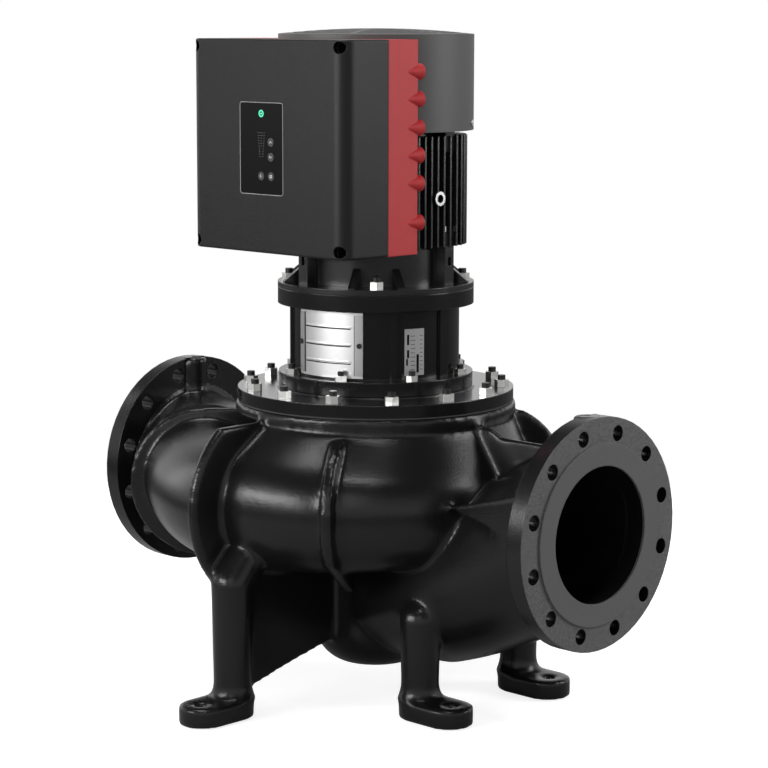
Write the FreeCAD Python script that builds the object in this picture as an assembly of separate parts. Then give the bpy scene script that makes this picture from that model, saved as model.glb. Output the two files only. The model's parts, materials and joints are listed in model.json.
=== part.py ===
import FreeCAD, Part
import math
import os

# In-line circulation pump with a close-coupled motor and a drive box on its side.
# Millimetres, +Z up along the shaft. The pipe runs along X: the inlet flange looks to +X and the
# outlet flange to -X. Each function builds its piece about the shaft, with Z = 0 on the pipe axis,
# and the pieces are moved at the end so that the origin is the centre of the inlet flange's face.

V = FreeCAD.Vector
ORIGIN = V(0, 0, 0)
X_AXIS = V(1, 0, 0)
Y_AXIS = V(0, 1, 0)
Z_AXIS = V(0, 0, 1)

# Pipe connections, DN 200 PN 16
PORT_TO_PORT = 900.0
PORT_HEIGHT = 295.0
BORE_R = 100.0
FLANGE_R = 170.0
FLANGE_THICK = 27.0
RAISED_FACE_R = 133.0
RAISED_FACE_HEIGHT = 3.0
FLANGE_BOLT_CIRCLE_R = 147.5
FLANGE_BOLT_HOLE_R = 11.5
# The outlet's holes are this much wider in radius, so that the two patterns on one axis differ in size
OUTLET_HOLE_EXTRA = 0.16
FLANGE_BOLTS = 12
NECK_R = 119.0
TAPPING_BOSS_R = 19.0
TAPPING_R = 6.0
TAPPING_DEPTH = 20.0

# Volute casing
VOLUTE_Z = 12.0
VOLUTE_INNER_R = 104.0
VOLUTE_START_DEG = 150.0
VOLUTE_END_DEG = -90.0
TUBE_START_R = 55.0
TUBE_END_R = 100.0
CASING_WALL = 13.0
TOP_RING_R = 216.0
TOP_RING_DEPTH = 18.0
RING_LIP = 9.0
CASING_TOP_Z = 148.0
CHAMBER_R = 172.0
CHAMBER_BOTTOM_Z = -34.0
DUCT_START_Z = -6.0
DUCT_TURN_DEG = 43.0
DUCT_R = 93.0
DUCT_END_R = 112.0
DUCT_CORNER_INSET = 60.0
DUCT_CORNER_R = 116.0
DUCT_FLARE = 40.0
COLLAR_R = 121.0
COLLAR_STEP_R = 96.0
COLLAR_THICK = 10.0
COLLAR_STEP_Z = -4.0
COLLAR_Z = -9.0
COLLAR_TIE_REACH = 120.0
SPIRAL_SECTIONS = 15
SEAM_TURN = math.radians(40.0)
OVERLAP = 1.0

# Strengthening ribs on the volute and gussets on the inlet neck
RIB_A_HEIGHT = 54.0
RIB_A_THICK = 16.0
RIB_A_X = -27.0
RIB_B_DEG = -59.0
RIB_B_HEIGHT = 18.0
RIB_B_THICK = 18.0
RIB_B_END_DEG = 37.0
RIB_B_TAIL = (163.0, -124.0)
RIB_C_HEIGHT = 47.0
RIB_D_DEG = 52.0
RIB_D_HEIGHT = 52.0
RIB_THICK = 12.0
RIB_END_DEG = 58.0
GUSSET_TIP_X = 255.0
GUSSET_TIP_Z = 29.0
GUSSET_TOP_Z = 74.0
GUSSET_LOW_Z = -8.0
GUSSET_LEAN_DEG = 1.8

# Suction bend under the volute
BEND_WALL = 17.0
BEND_RADIUS = 125.0
BEND_CORNER_INSET = 51.0
BEND_DEG = 33.0
SWEEP_RADIUS = 860.0
SWEEP_DEG = 16.0
CONE_LENGTH = 150.0
CONE_END_R = 80.0
BOWL_R = 94.0
BOWL_BOTTOM_Z = -266.0
EYE_R = 78.0

# Feet
FOOT_THICK = 30.0
FOOT_LENGTH = 124.0
FOOT_WIDTH = 72.0
FOOT_HOLE_R = 8.5
COLUMN_R = 28.0
COLUMN_TOP_R = 31.0
COLUMN_SEAT = 4.0
FLARE_HEIGHT = 20.0
WEB_THICK = 12.0
WEB_TOP_Z = -60.0
WEB_END_R = 60.0
WEB_END_Z = -208.0
WEB_HOLLOW = (185.0, -236.0)
BACK_WEB_HOLLOW = (150.0, -228.0)
WEB_TOE_RISE = 28.0
# Tip of each pad, its outward direction, the height of its column's shoulder, and how far the
# column's bent head reaches in and up
FEET = (
    (V(0, -395.0, 0), V(0, -1, 0), -96.0, (54.0, 62.0)),
    (V(295.0, -110.0, 0), V(1, 0, 0), -150.0, (62.0, 40.0)),
    (V(295.0, 110.0, 0), V(1, 0, 0), -150.0, (62.0, 40.0)),
    (V(-150.0, 262.0, 0), V(0, 1, 0), -80.0, (60.0, 50.0)),
)

# Wear ring
NECK_RING_R = 88.0
NECK_RING_BORE = 80.5
NECK_RING_HEIGHT = 22.0

# Cover
COVER_R = 212.0
COVER_THICK = 19.0
COVER_HUB_R = 152.0
COVER_HUB_RISE = 2.0
COVER_PLATE_Z = 62.0
COVER_PLATE_THICK = 20.0
COVER_BORE_R = 22.0
COVER_FIT = 0.4
GASKET_THICK = 2.0
COVER_STUDS = 14
COVER_STUD_CIRCLE_R = 194.0
STUD_M12_R = 6.0
NUT_M12_FLATS = 19.0
NUT_M12_HEIGHT = 11.0
STUD_M10_R = 5.0
NUT_M10_FLATS = 16.0
NUT_M10_HEIGHT = 8.4
STUD_TIP = 7.0
STUD_DEPTH = 14.0
HOLE_CLEARANCE = 0.75
VENT_CIRCLE_R = 171.0
VENT_DEG = 130.0
VENT_R = 5.0
VENT_FLATS = 14.0
VENT_HEIGHT = 9.0
VENT_NEEDLE_R = 3.0
VENT_NEEDLE_DEPTH = 9.0
VENT_NEEDLE_FIT = 0.05

# Stool between the pump and the motor
STOOL_BODY_R = 128.0
STOOL_WALL = 12.0
STOOL_FOOT_WIDTH = 21.0
STOOL_FOOT_THICK = 22.0
STOOL_HEIGHT = 152.0
STOOL_TOP_R = 150.0
STOOL_TOP_THICK = 25.0
STOOL_STUDS = 8
STOOL_STUD_OFFSET = 10.6
WINDOW_DEG = -80.0
WINDOW_HALF_DEG = 21.0
WINDOW_MARGIN = 8.0
GUARD_THICK = 1.5
GUARD_LAP_DEG = 5.0
GUARD_MARGIN = 5.0
GUARD_SCREW_R = 2.0

# Motor, flange size FF 265
MOTOR_FLANGE_R = 150.0
MOTOR_FLANGE_THICK = 8.0
MOTOR_BOLT_CIRCLE_R = 132.5
MOTOR_SPIGOT_GAP = 0.3
MOTOR_SPIGOT_HEIGHT = 5.0
SHIELD_R = 110.0
SHIELD_TOP_Z = 385.0
SHIELD_WALL = 10.0
SHIELD_RIB_THICK = 11.0
SHIELD_RIB_RISE = 28.0
SHIELD_LUG_R = 13.0
SHIELD_LUG_CIRCLE_R = 116.0
SHIELD_LUG_DEGREES = (13.5, 76.5, -103.5, -166.5)
LUG_WINDOW_Z = 366.0
LUG_WINDOW_WIDTH = 9.0
LUG_WINDOW_HEIGHT = 13.0
LUG_WINDOW_DEPTH = 5.0
FRAME_LUG_HEIGHT = 26.0
TIE_HEAD_ROOM = 20.0
TIE_SCREW_R = 4.0
TIE_SCREW_DEPTH = 16.0
DRIVE_HOUSING_R = 56.0
FAN_HOUSING_R = 54.0
SHAFT_HOLE_R = 21.5
FRAME_R = 104.0
FRAME_BORE_R = 92.0
FRAME_LENGTH = 171.0
FIN_SPAN = 130.0
FIN_CORNER_R = 138.0
FIN_PITCH = 13.7
FIN_THICK = 3.6
FINS_PER_SIDE = 13
EYE_BOSS_R = 11.0
EYE_BOSS_Z = 462.0
EYE_HOLE_R = 6.0
UPPER_FLANGE_THICK = 10.0
MOTOR_SHAFT_R = 19.0
MOTOR_SHAFT_END_Z = 241.0
ROTOR_R = 58.0
AIR_GAP = 0.6
CORE_LENGTH = 110.0
WINDING_OVERHANG = 16.0
BEARING_OUTER_R = 45.0
BEARING_SEAT_R = 20.0
BEARING_WIDTH = 23.0
DRIVE_BEARING_RISE = 33.0
FAN_BEARING_RISE = 3.0
WAVE_SPRING_THICK = 2.0
ROTOR_SEAT_R = 22.0
BALL_R = 7.5
RACE_GROOVE = 4.5
RACE_LAND = 4.125

# Fan and its cover
FAN_COVER_R = 148.0
FAN_COVER_WALL = 1.6
FAN_COVER_BOTTOM_Z = 561.0
FAN_COVER_TOP_Z = 704.0
FAN_COVER_DOME = 8.0
GRILLE_RINGS = 6
GRILLE_SPOKES = 6
GRILLE_SLOT = 8.5
GRILLE_BAR = 9.0
FAN_R = 122.0
FAN_HUB_R = 32.0
FAN_HEIGHT = 46.0
FAN_BLADES = 8
FAN_RISE = 56.0
FAN_SCREW_R = 2.5
FAN_SCREW_DEG = 31.0
FAN_SCREW_RISE = 11.0

# Drive box on the -Y side
BOX_HALF_WIDTH = 163.0
BOX_BOTTOM_Z = 387.0
BOX_HEIGHT = 310.0
BOX_FRONT_Y = -230.0
BOX_SPLIT_Y = -140.5
BOX_REAR_Y = -80.0
BOX_CORNER_R = 22.0
BOX_WALL = 4.0
BOX_EDGE_R = 3.0
BOX_MOTOR_GAP = 2.5
PAD_HALF_WIDTH = 45.0
PAD_Y = -142.0
PAD_SEAT_DEPTH = 8.0
PAD_SCREW_R = 3.0
PAD_INSET_LOW = 30.0
PAD_INSET_HIGH = 20.0
PAD_SCREW_INSET = 14.0
SCALLOP_HEIGHTS = (46.0, 103.0, 143.5, 183.5, 224.5, 264.0)
SCALLOP_R = 12.0
SCALLOP_LENGTH = 36.0
BOX_SCREW_INSET_X = 13.0
BOX_SCREW_INSET_Z = 11.0
BOX_SCREW_POCKET_R = 8.5
BOX_SCREW_DEPTH = 62.0
BOX_SCREW_R = 3.0
BOX_SCREW_GRIP = 16.0
BOARD_Y = -172.0
BOARD_THICK = 2.0
BOARD_SCREW_R = 2.0
BOARD_POST_R = 4.5
BOARD_MARGIN_X = 9.0
BOARD_MARGIN_Z = 28.0
CAPACITORS = 3
CAPACITOR_R = 13.0
CAPACITOR_LENGTH = 34.0
CAPACITOR_FIRST_X = -95.0
CAPACITOR_PITCH = 32.0
CAPACITOR_RISE = 40.0
HEAT_SPREADER_DEPTH = 22.0
ENTRY_INSET = 45.0
ENTRY_Y = -119.0
ENTRY_R = 10.0
PANEL_LEFT_X = -53.5
PANEL_WIDTH = 92.0
PANEL_BOTTOM_Z = 472.0
PANEL_HEIGHT = 134.5
PANEL_RECESS = 1.5
BUTTON_R = 6.2
BUTTON_GAP = 0.3
BUTTON_PROUD = 0.5
BUTTON_PLACES = {
    "button_up": (12.3, 549.0),
    "button_down": (12.3, 527.5),
    "button_back": (-8.0, 499.5),
    "button_enter": (12.7, 499.5),
}
STATUS_PLACE = (-7.9, 590.0)
STATUS_R = 6.0

# Shafts, coupling, seal and impeller
PUMP_SHAFT_R = 16.0
PUMP_SHAFT_TOP_Z = 239.0
COUPLING_R = 44.0
COUPLING_BOTTOM_Z = 190.0
COUPLING_TOP_Z = 290.0
COUPLING_SPLIT = 1.0
IMPELLER_R = 158.0
IMPELLER_EYE_R = 80.0
IMPELLER_OUTLET_WIDTH = 40.0
IMPELLER_WALL = 6.0
IMPELLER_BLADES = 6
IMPELLER_HUB_R = 30.0
IMPELLER_BOTTOM_Z = -30.0
IMPELLER_NUT_HEIGHT = 14.0
IMPELLER_NUT_FLATS = 30.0
IMPELLER_STUB_R = 10.0
KEY_DEPTH = 4.0
KEY_WIDTH = 8.0
KEY_LENGTH = 40.0
RUNNING_GAP = 0.5
COUPLING_SCREW_R = 4.0
COUPLING_HEAD_Y = 16.0
SEAL_CHAMBER_R = 28.0
SEAL_CHAMBER_TOP_Z = 132.0
BELLOWS_FOLDS = 6


def cylinder(radius, low, high, x=0.0, y=0.0):
    """Upright cylinder between two heights."""
    return Part.makeCylinder(radius, high - low, V(x, y, low), Z_AXIS)


def ring(outer, inner, low, high, x=0.0, y=0.0):
    """Upright ring between two heights."""
    return cylinder(outer, low, high, x, y).cut(cylinder(inner, low - 1.0, high + 1.0, x, y))


def block(x0, x1, y0, y1, z0, z1):
    """Box between two corners."""
    return Part.makeBox(x1 - x0, y1 - y0, z1 - z0, V(x0, y0, z0))


def rod(radius, start, end):
    """Cylinder from one point to another."""
    axis = end.sub(start)
    return Part.makeCylinder(radius, axis.Length, start, axis)


def union(shapes):
    """One solid out of touching shapes, without the seams between coplanar faces."""
    joined = shapes[0].fuse(shapes[1:]) if len(shapes) > 1 else shapes[0]
    return joined.removeSplitter()


def revolve(profile):
    """Turn a closed (radius, height) outline about the shaft."""
    points = [V(r, 0, z) for r, z in profile]
    face = Part.Face(Part.makePolygon(points + [points[0]]))
    return face.revolve(ORIGIN, Z_AXIS, 360)


def turned(shape, degrees):
    """Copy of a shape turned about the shaft."""
    copy = shape.copy()
    copy.rotate(ORIGIN, Z_AXIS, degrees)
    return copy


def around(shape, count, first=0.0):
    """Evenly spaced copies about the shaft."""
    return [turned(shape, first + 360.0 / count * i) for i in range(count)]


def at_angle(radius, degrees, z=0.0):
    """Point at a radius and direction about the shaft."""
    angle = math.radians(degrees)
    return V(radius * math.cos(angle), radius * math.sin(angle), z)


def plate(outline, thickness, plane_x, plane_y, origin):
    """Flat plate of a (u, v) outline, centred on the plane of its two axes through origin."""
    normal = plane_x.cross(plane_y)
    start = origin.sub(V(normal).multiply(thickness / 2))
    points = [start.add(V(plane_x).multiply(u)).add(V(plane_y).multiply(v)) for u, v in outline]
    face = Part.Face(Part.makePolygon(points + [points[0]]))
    return face.extrude(V(normal).multiply(thickness))


def along(origin, heading, u, z):
    """Point at a distance along a level heading and at a height."""
    point = origin.add(V(heading).multiply(u))
    return V(point.x, point.y, z)


def thick_plate(face, thickness, normal):
    """Flat plate with a face as its middle plane."""
    middle = face.copy()
    middle.translate(V(normal).multiply(-thickness / 2))
    return middle.extrude(V(normal).multiply(thickness))


def hex_nut(flats, height, hole_r, centre):
    """Hexagon nut standing on centre."""
    corner = flats / math.sqrt(3.0)
    points = [centre.add(at_angle(corner, 60.0 * i)) for i in range(7)]
    body = Part.Face(Part.makePolygon(points)).extrude(V(0, 0, height))
    return body.cut(cylinder(hole_r, centre.z - 1, centre.z + height + 1, centre.x, centre.y))


def circle_wire(centre, heading, radius, up):
    """Closed circle as a loft section, with its seam turned the same way from up in every section."""
    side = V(heading).normalize().cross(up)
    circle = Part.Circle(centre, heading, radius)
    circle.XAxis = V(up).multiply(math.cos(SEAM_TURN)).add(V(side).multiply(math.sin(SEAM_TURN)))
    return Part.Wire(circle.toShape())


def arc_tube(start, heading, end, radius):
    """Round bar on the arc that leaves start along heading and ends at end."""
    chord = end.sub(start)
    half_turn = heading.getAngle(chord)
    axis = heading.cross(chord).normalize()
    arc_r = chord.Length / (2 * math.sin(half_turn))
    centre = start.add(axis.cross(heading).multiply(arc_r))
    disc = Part.Face(Part.Wire(Part.makeCircle(radius, start, heading)))
    return disc.revolve(centre, axis, math.degrees(2 * half_turn))


def arc_end(start, heading, axis, radius, degrees):
    """End of the arc that leaves start along heading and turns about axis, and its heading there."""
    centre = start.add(axis.cross(heading).multiply(radius))
    turn = FreeCAD.Rotation(axis, degrees)
    return centre.add(turn.multVec(start.sub(centre))), turn.multVec(heading)


# Heights that follow from the stack of pieces on the shaft
COVER_SEAT_Z = CASING_TOP_Z + GASKET_THICK
COVER_TOP_Z = COVER_SEAT_Z + COVER_THICK
STOOL_Z = COVER_TOP_Z + COVER_HUB_RISE
STOOL_TOP_Z = STOOL_Z + STOOL_HEIGHT
MOTOR_FLANGE_TOP_Z = STOOL_TOP_Z + MOTOR_FLANGE_THICK
FRAME_TOP_Z = SHIELD_TOP_Z + FRAME_LENGTH
CORE_MID_Z = (SHIELD_TOP_Z + FRAME_TOP_Z) / 2
BOX_TOP_Z = BOX_BOTTOM_Z + BOX_HEIGHT
FLOOR_Z = -PORT_HEIGHT
DRIVE_BEARING_Z = STOOL_TOP_Z + DRIVE_BEARING_RISE
FAN_BEARING_Z = FRAME_TOP_Z + FAN_BEARING_RISE
FAN_LOW_Z = FRAME_TOP_Z + FAN_RISE
FAN_SCREW_Z = FAN_COVER_BOTTOM_Z + FAN_SCREW_RISE
BALL_CIRCLE_R = (BEARING_OUTER_R + BEARING_SEAT_R) / 2
WINDOW_MID_Z = (STOOL_Z + STOOL_FOOT_THICK + STOOL_TOP_Z - STOOL_TOP_THICK) / 2
PAD_SEAT_Y = PAD_Y - PAD_SEAT_DEPTH
STOOL_BORE_R = STOOL_BODY_R - STOOL_WALL
STOOL_FOOT_R = STOOL_BODY_R + STOOL_FOOT_WIDTH
STOOL_STUD_CIRCLE_R = STOOL_BODY_R + STOOL_STUD_OFFSET
ENTRY_X = (ENTRY_INSET - BOX_HALF_WIDTH, BOX_HALF_WIDTH - ENTRY_INSET)
PAD_LOW_Z = BOX_BOTTOM_Z + PAD_INSET_LOW
PAD_HIGH_Z = FRAME_TOP_Z - PAD_INSET_HIGH
HALF_LENGTH = PORT_TO_PORT / 2
DUCT_CORNER_X = HALF_LENGTH - DUCT_CORNER_INSET
BEND_CORNER_X = HALF_LENGTH - BEND_CORNER_INSET
FLANGE_BACK_X = HALF_LENGTH - RAISED_FACE_HEIGHT - FLANGE_THICK


def tube_radius(degrees):
    """Outer radius of the spiral tube, growing from the tongue to the throat."""
    share = (VOLUTE_START_DEG - degrees) / (VOLUTE_START_DEG - VOLUTE_END_DEG)
    return TUBE_START_R + (TUBE_END_R - TUBE_START_R) * share


def tube_centre(degrees):
    """Centre of the spiral tube's section."""
    return at_angle(VOLUTE_INNER_R + tube_radius(degrees), degrees, VOLUTE_Z)


def shoulder_section(degrees):
    """Outer section of the casing at one direction: tube, shoulder slope and a flat inner side."""
    radius = tube_radius(degrees)
    centre_r = VOLUTE_INNER_R + radius
    top_r = TOP_RING_R - RING_LIP
    top_z = CASING_TOP_Z - TOP_RING_DEPTH + 2.0
    dr = top_r - centre_r
    dz = top_z - VOLUTE_Z
    distance = math.hypot(dr, dz)
    lean = math.atan2(dz, dr) - math.acos(radius / distance)
    inner_r = CHAMBER_R * 0.75
    outline = [(inner_r, top_z), (top_r, top_z)]
    outline.append((centre_r + radius * math.cos(lean), VOLUTE_Z + radius * math.sin(lean)))
    belly = lean / 2 - math.pi / 4
    middle = (centre_r + radius * math.cos(belly), VOLUTE_Z + radius * math.sin(belly))
    bottom = (centre_r, VOLUTE_Z - radius)
    points = [at_angle(r, degrees, z) for r, z in outline]
    middle_point = at_angle(middle[0], degrees, middle[1])
    bottom_point = at_angle(bottom[0], degrees, bottom[1])
    inner_point = at_angle(inner_r, degrees, bottom[1])
    edges = [
        Part.makeLine(points[0], points[1]),
        Part.makeLine(points[1], points[2]),
        Part.Arc(points[2], middle_point, bottom_point).toShape(),
        Part.makeLine(bottom_point, inner_point),
        Part.makeLine(inner_point, points[0]),
    ]
    return Part.Wire(edges)


def spiral_angles(count):
    """Directions of the loft sections from the tongue to the throat."""
    step = (VOLUTE_END_DEG - VOLUTE_START_DEG) / (count - 1)
    return [VOLUTE_START_DEG + step * i for i in range(count)]


def duct_path():
    """Throat, knee, corner and the heading between the last two, all in one gently tilted plane."""
    throat = V(RIB_A_X, tube_centre(VOLUTE_END_DEG).y, DUCT_START_Z)
    aside = V(0, -throat.y, -throat.z)
    turn = math.radians(DUCT_TURN_DEG)
    ahead = (DUCT_CORNER_X + throat.x) * math.sin(turn) - aside.Length * math.cos(turn)
    arc_r = ahead / (1 - math.cos(turn))
    aside.normalize()
    knee = throat.add(V(-arc_r * math.sin(turn), 0, 0)).add(V(aside).multiply(arc_r * (1 - math.cos(turn))))
    run = V(-math.cos(turn), 0, 0).add(V(aside).multiply(math.sin(turn)))
    return throat, knee, V(-DUCT_CORNER_X, 0, 0), run


def duct(shrink, end_r, end_x):
    """Outlet duct: an arc from the throat to the knee, a flare, a straight run, an elbow and the neck."""
    throat, knee, corner, run = duct_path()
    outward = V(-1, 0, 0)
    reach = DUCT_CORNER_R * math.tan(math.radians(DUCT_TURN_DEG / 2))
    elbow_start = corner.sub(V(run).multiply(reach))
    elbow_end = corner.add(V(outward).multiply(reach))
    flare_at = knee.add(V(run).multiply(COLLAR_THICK * 2))
    wide_at = flare_at.add(V(run).multiply(DUCT_FLARE))
    tube_r = DUCT_R - shrink
    return union([
        arc_tube(throat, outward, knee, tube_r),
        rod(tube_r, knee, flare_at),
        Part.makeCone(tube_r, end_r, DUCT_FLARE, flare_at, run),
        rod(end_r, wide_at, elbow_start),
        arc_tube(elbow_start, run, elbow_end, end_r),
        rod(end_r, elbow_end, V(-end_x, 0, 0)),
    ])


def suction(radius, shrink, start_x):
    """Suction bend: straight through the flange, a bend down, a long sweep and a cone under the eye."""
    reach = BEND_RADIUS * math.tan(math.radians(BEND_DEG / 2))
    begin = V(BEND_CORNER_X + reach, 0, 0)
    inward = V(-1, 0, 0)
    low, heading = arc_end(begin, inward, V(0, -1, 0), BEND_RADIUS, BEND_DEG)
    end, end_heading = arc_end(low, heading, Y_AXIS, SWEEP_RADIUS, SWEEP_DEG)
    return union([
        rod(radius, V(start_x, 0, 0), begin),
        arc_tube(begin, inward, low, radius),
        arc_tube(low, heading, end, radius),
        Part.makeCone(radius, CONE_END_R - shrink, CONE_LENGTH, end, end_heading),
    ])


def bowl(radius, bottom):
    """Round-bottomed bowl under the impeller eye."""
    knuckle = radius * 0.55
    top = VOLUTE_Z - TUBE_START_R
    start = V(0, 0, bottom)
    corner = V(knuckle * 0.9, 0, bottom + 2.0)
    side = V(radius, 0, bottom + knuckle + 18.0)
    bend = V(radius * 0.87, 0, bottom + knuckle * 0.42)
    edges = [
        Part.makeLine(start, corner),
        Part.Arc(corner, bend, side).toShape(),
        Part.makeLine(side, V(radius, 0, top)),
        Part.makeLine(V(radius, 0, top), V(0, 0, top)),
        Part.makeLine(V(0, 0, top), start),
    ]
    return Part.Face(Part.Wire(edges)).revolve(ORIGIN, Z_AXIS, 360)


def pipe_flange(side):
    """Round pipe flange on one end: side is +1 for the inlet and -1 for the outlet."""
    face_x = side * HALF_LENGTH
    shoulder_x = face_x - side * RAISED_FACE_HEIGHT
    back_x = face_x - side * (RAISED_FACE_HEIGHT + FLANGE_THICK)
    disc = rod(FLANGE_R, V(back_x, 0, 0), V(shoulder_x, 0, 0))
    raised = rod(RAISED_FACE_R, V(back_x, 0, 0), V(face_x, 0, 0))
    boss = cylinder(TAPPING_BOSS_R, NECK_R - 12.0, FLANGE_R, back_x, 0)
    return [disc, raised, boss]


def pipe_flange_cuts(side):
    """Bolt holes straddling the vertical, and the tapping in the boss."""
    face_x = side * (HALF_LENGTH + 1.0)
    back_x = side * (FLANGE_BACK_X - 1.0)
    hole_r = FLANGE_BOLT_HOLE_R if side > 0 else FLANGE_BOLT_HOLE_R + OUTLET_HOLE_EXTRA
    cuts = []
    for i in range(FLANGE_BOLTS):
        angle = math.radians(360.0 / FLANGE_BOLTS * (i + 0.5))
        y = FLANGE_BOLT_CIRCLE_R * math.cos(angle)
        z = FLANGE_BOLT_CIRCLE_R * math.sin(angle)
        cuts.append(rod(hole_r, V(back_x, y, z), V(face_x, y, z)))
    tapping_x = side * FLANGE_BACK_X
    cuts.append(cylinder(TAPPING_R, FLANGE_R - TAPPING_DEPTH, FLANGE_R + 1.0, tapping_x, 0))
    return cuts


def rib_plate(degrees, height, thickness, origin, heading, end_deg=RIB_END_DEG, tail=None):
    """Rib that follows the volute's section at one direction and may run on in a straight tail."""
    radius = tube_radius(degrees)
    centre_r = VOLUTE_INNER_R + radius
    rim = radius + height
    high = CASING_TOP_Z - TOP_RING_DEPTH + 3.0
    start = math.asin(min((high - VOLUTE_Z) / rim, 0.9))
    end = -math.radians(end_deg)
    foot_r = centre_r - 30.0
    rim_points = [along(origin, heading, centre_r + rim * math.cos(a), VOLUTE_Z + rim * math.sin(a))
                  for a in (start, (start + end) / 2, end)]
    corners = [rim_points[2]]
    if tail:
        corners.append(along(origin, heading, *tail))
        foot_r = tail[0]
    corners += [along(origin, heading, foot_r, VOLUTE_Z - radius + 8.0), along(origin, heading, foot_r, high)]
    corners.append(rim_points[0])
    edges = [Part.Arc(*rim_points).toShape()]
    edges += [Part.makeLine(p, q) for p, q in zip(corners, corners[1:])]
    return thick_plate(Part.Face(Part.Wire(edges)), thickness, heading.cross(Z_AXIS))


def gusset(side):
    """Three-cornered plate on one side of the inlet neck, opening out to the flange."""
    lean = math.radians(GUSSET_LEAN_DEG)
    heading = V(math.cos(lean), side * math.sin(lean), 0)
    tip_y = NECK_R * math.cos(math.asin(GUSSET_TIP_Z / NECK_R))
    tip = V(GUSSET_TIP_X, side * (tip_y - RIB_THICK / 2), 0)
    run = FLANGE_BACK_X + 2.0 - GUSSET_TIP_X
    outline = [(0.0, GUSSET_TIP_Z), (run, GUSSET_TOP_Z), (run, GUSSET_LOW_Z)]
    return plate(outline, RIB_THICK, heading, Z_AXIS, tip)


def volute_ribs():
    """The ribs that stand on the volute and the webs that tie them to the flanges."""
    rib_a = rib_plate(VOLUTE_END_DEG, RIB_A_HEIGHT, RIB_A_THICK, V(RIB_A_X, 0, 0), V(0, -1, 0))
    rib_b = rib_plate(RIB_B_DEG, RIB_B_HEIGHT, RIB_B_THICK, ORIGIN, at_angle(1.0, RIB_B_DEG),
                      RIB_B_END_DEG, RIB_B_TAIL)
    rib_c = rib_plate(0.0, RIB_C_HEIGHT, RIB_THICK, ORIGIN, X_AXIS)
    rib_d = rib_plate(RIB_D_DEG, RIB_D_HEIGHT, RIB_THICK, ORIGIN, at_angle(1.0, RIB_D_DEG))
    inlet_web = plate([(200.0, NECK_R), (FLANGE_BACK_X + 2.0, NECK_R), (FLANGE_BACK_X + 2.0, 90.0),
                       (260.0, -40.0), (200.0, -40.0)], RIB_THICK * 0.8, X_AXIS, Z_AXIS, ORIGIN)
    return [rib_a, rib_b, rib_c, rib_d, inlet_web, gusset(1), gusset(-1)]


def duct_collars():
    """Two rings round the outlet duct and the flat plate that ties the larger one to the shoulder."""
    knee = duct_path()[1]
    run = at_angle(1.0, 180.0 - DUCT_TURN_DEG)
    across = at_angle(1.0, 90.0 - DUCT_TURN_DEG)
    big_centre = V(knee.x, knee.y, COLLAR_Z).add(V(run).multiply(COLLAR_THICK / 2))
    big = Part.makeCylinder(COLLAR_R, COLLAR_THICK, big_centre, run)
    step_start = V(knee.x, knee.y, COLLAR_STEP_Z).sub(V(run).multiply(COLLAR_THICK))
    step = Part.makeCylinder(COLLAR_STEP_R, COLLAR_THICK * 2, step_start, run)
    tie_origin = V(big_centre).add(V(run).multiply(COLLAR_THICK / 2))
    tie = plate([(0.0, 0.0), (0.0, COLLAR_R), (COLLAR_TIE_REACH, COLLAR_R), (COLLAR_TIE_REACH, 0.0)],
                COLLAR_THICK, across, Z_AXIS, tie_origin)
    return [big, step, tie]


def foot_pad(tip, outward):
    """Rounded pad with its outer end at tip."""
    side = V(outward.y, -outward.x, 0)
    end_r = FOOT_WIDTH / 2
    far = V(tip).sub(V(outward).multiply(end_r))
    near = V(tip).sub(V(outward).multiply(FOOT_LENGTH - end_r))
    base = V(0, 0, FLOOR_Z)
    far_disc = cylinder(end_r, FLOOR_Z, FLOOR_Z + FOOT_THICK, far.x, far.y)
    near_disc = cylinder(end_r, FLOOR_Z, FLOOR_Z + FOOT_THICK, near.x, near.y)
    corners = [near.add(V(side).multiply(end_r)), far.add(V(side).multiply(end_r)),
               far.sub(V(side).multiply(end_r)), near.sub(V(side).multiply(end_r))]
    points = [p.add(base) for p in corners]
    middle = Part.Face(Part.makePolygon(points + [points[0]])).extrude(V(0, 0, FOOT_THICK))
    return union([far_disc, near_disc, middle])


def column_centre(tip, outward):
    """Where the column stands on its pad, close to the pad's inner end."""
    return V(tip).sub(V(outward).multiply(FOOT_LENGTH - COLUMN_R - 2.0))


def foot_hole_centre(tip, outward):
    """Where the anchor hole is, close to the pad's outer end."""
    return V(tip).sub(V(outward).multiply(FOOT_WIDTH * 0.44))


def foot_column(tip, outward, top, head):
    """Column on its pad, with a flared root, a round shoulder and a head that bends in to the casting."""
    centre = column_centre(tip, outward)
    root = V(centre.x, centre.y, FLOOR_Z + FOOT_THICK - COLUMN_SEAT)
    shoulder = V(centre.x, centre.y, top)
    inward = V(0, -centre.y, 0).normalize()
    reach, rise = head
    end = shoulder.add(inward.multiply(reach)).add(V(0, 0, rise))
    column = Part.makeCone(COLUMN_R, COLUMN_TOP_R, top - root.z, root)
    flare = Part.makeCone(FOOT_WIDTH / 2 - 1.0, COLUMN_R, FLARE_HEIGHT, root)
    return [column, flare, Part.makeSphere(COLUMN_TOP_R, shoulder), rod(COLUMN_TOP_R, shoulder, end)]


def foot_web(centre, hollow):
    """Web from a column to the bowl, with a lower edge that hollows through a point."""
    heading = V(centre).normalize()
    low = along(ORIGIN, heading, centre.Length, FLOOR_Z + WEB_TOE_RISE)
    middle = along(ORIGIN, heading, *hollow)
    end = along(ORIGIN, heading, WEB_END_R, WEB_END_Z)
    high = [along(ORIGIN, heading, WEB_END_R, WEB_TOP_Z), along(ORIGIN, heading, centre.Length, WEB_TOP_Z)]
    edges = [Part.Arc(low, middle, end).toShape(), Part.makeLine(end, high[0]),
             Part.makeLine(high[0], high[1]), Part.makeLine(high[1], low)]
    return thick_plate(Part.Face(Part.Wire(edges)), WEB_THICK, heading.cross(Z_AXIS))


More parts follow.
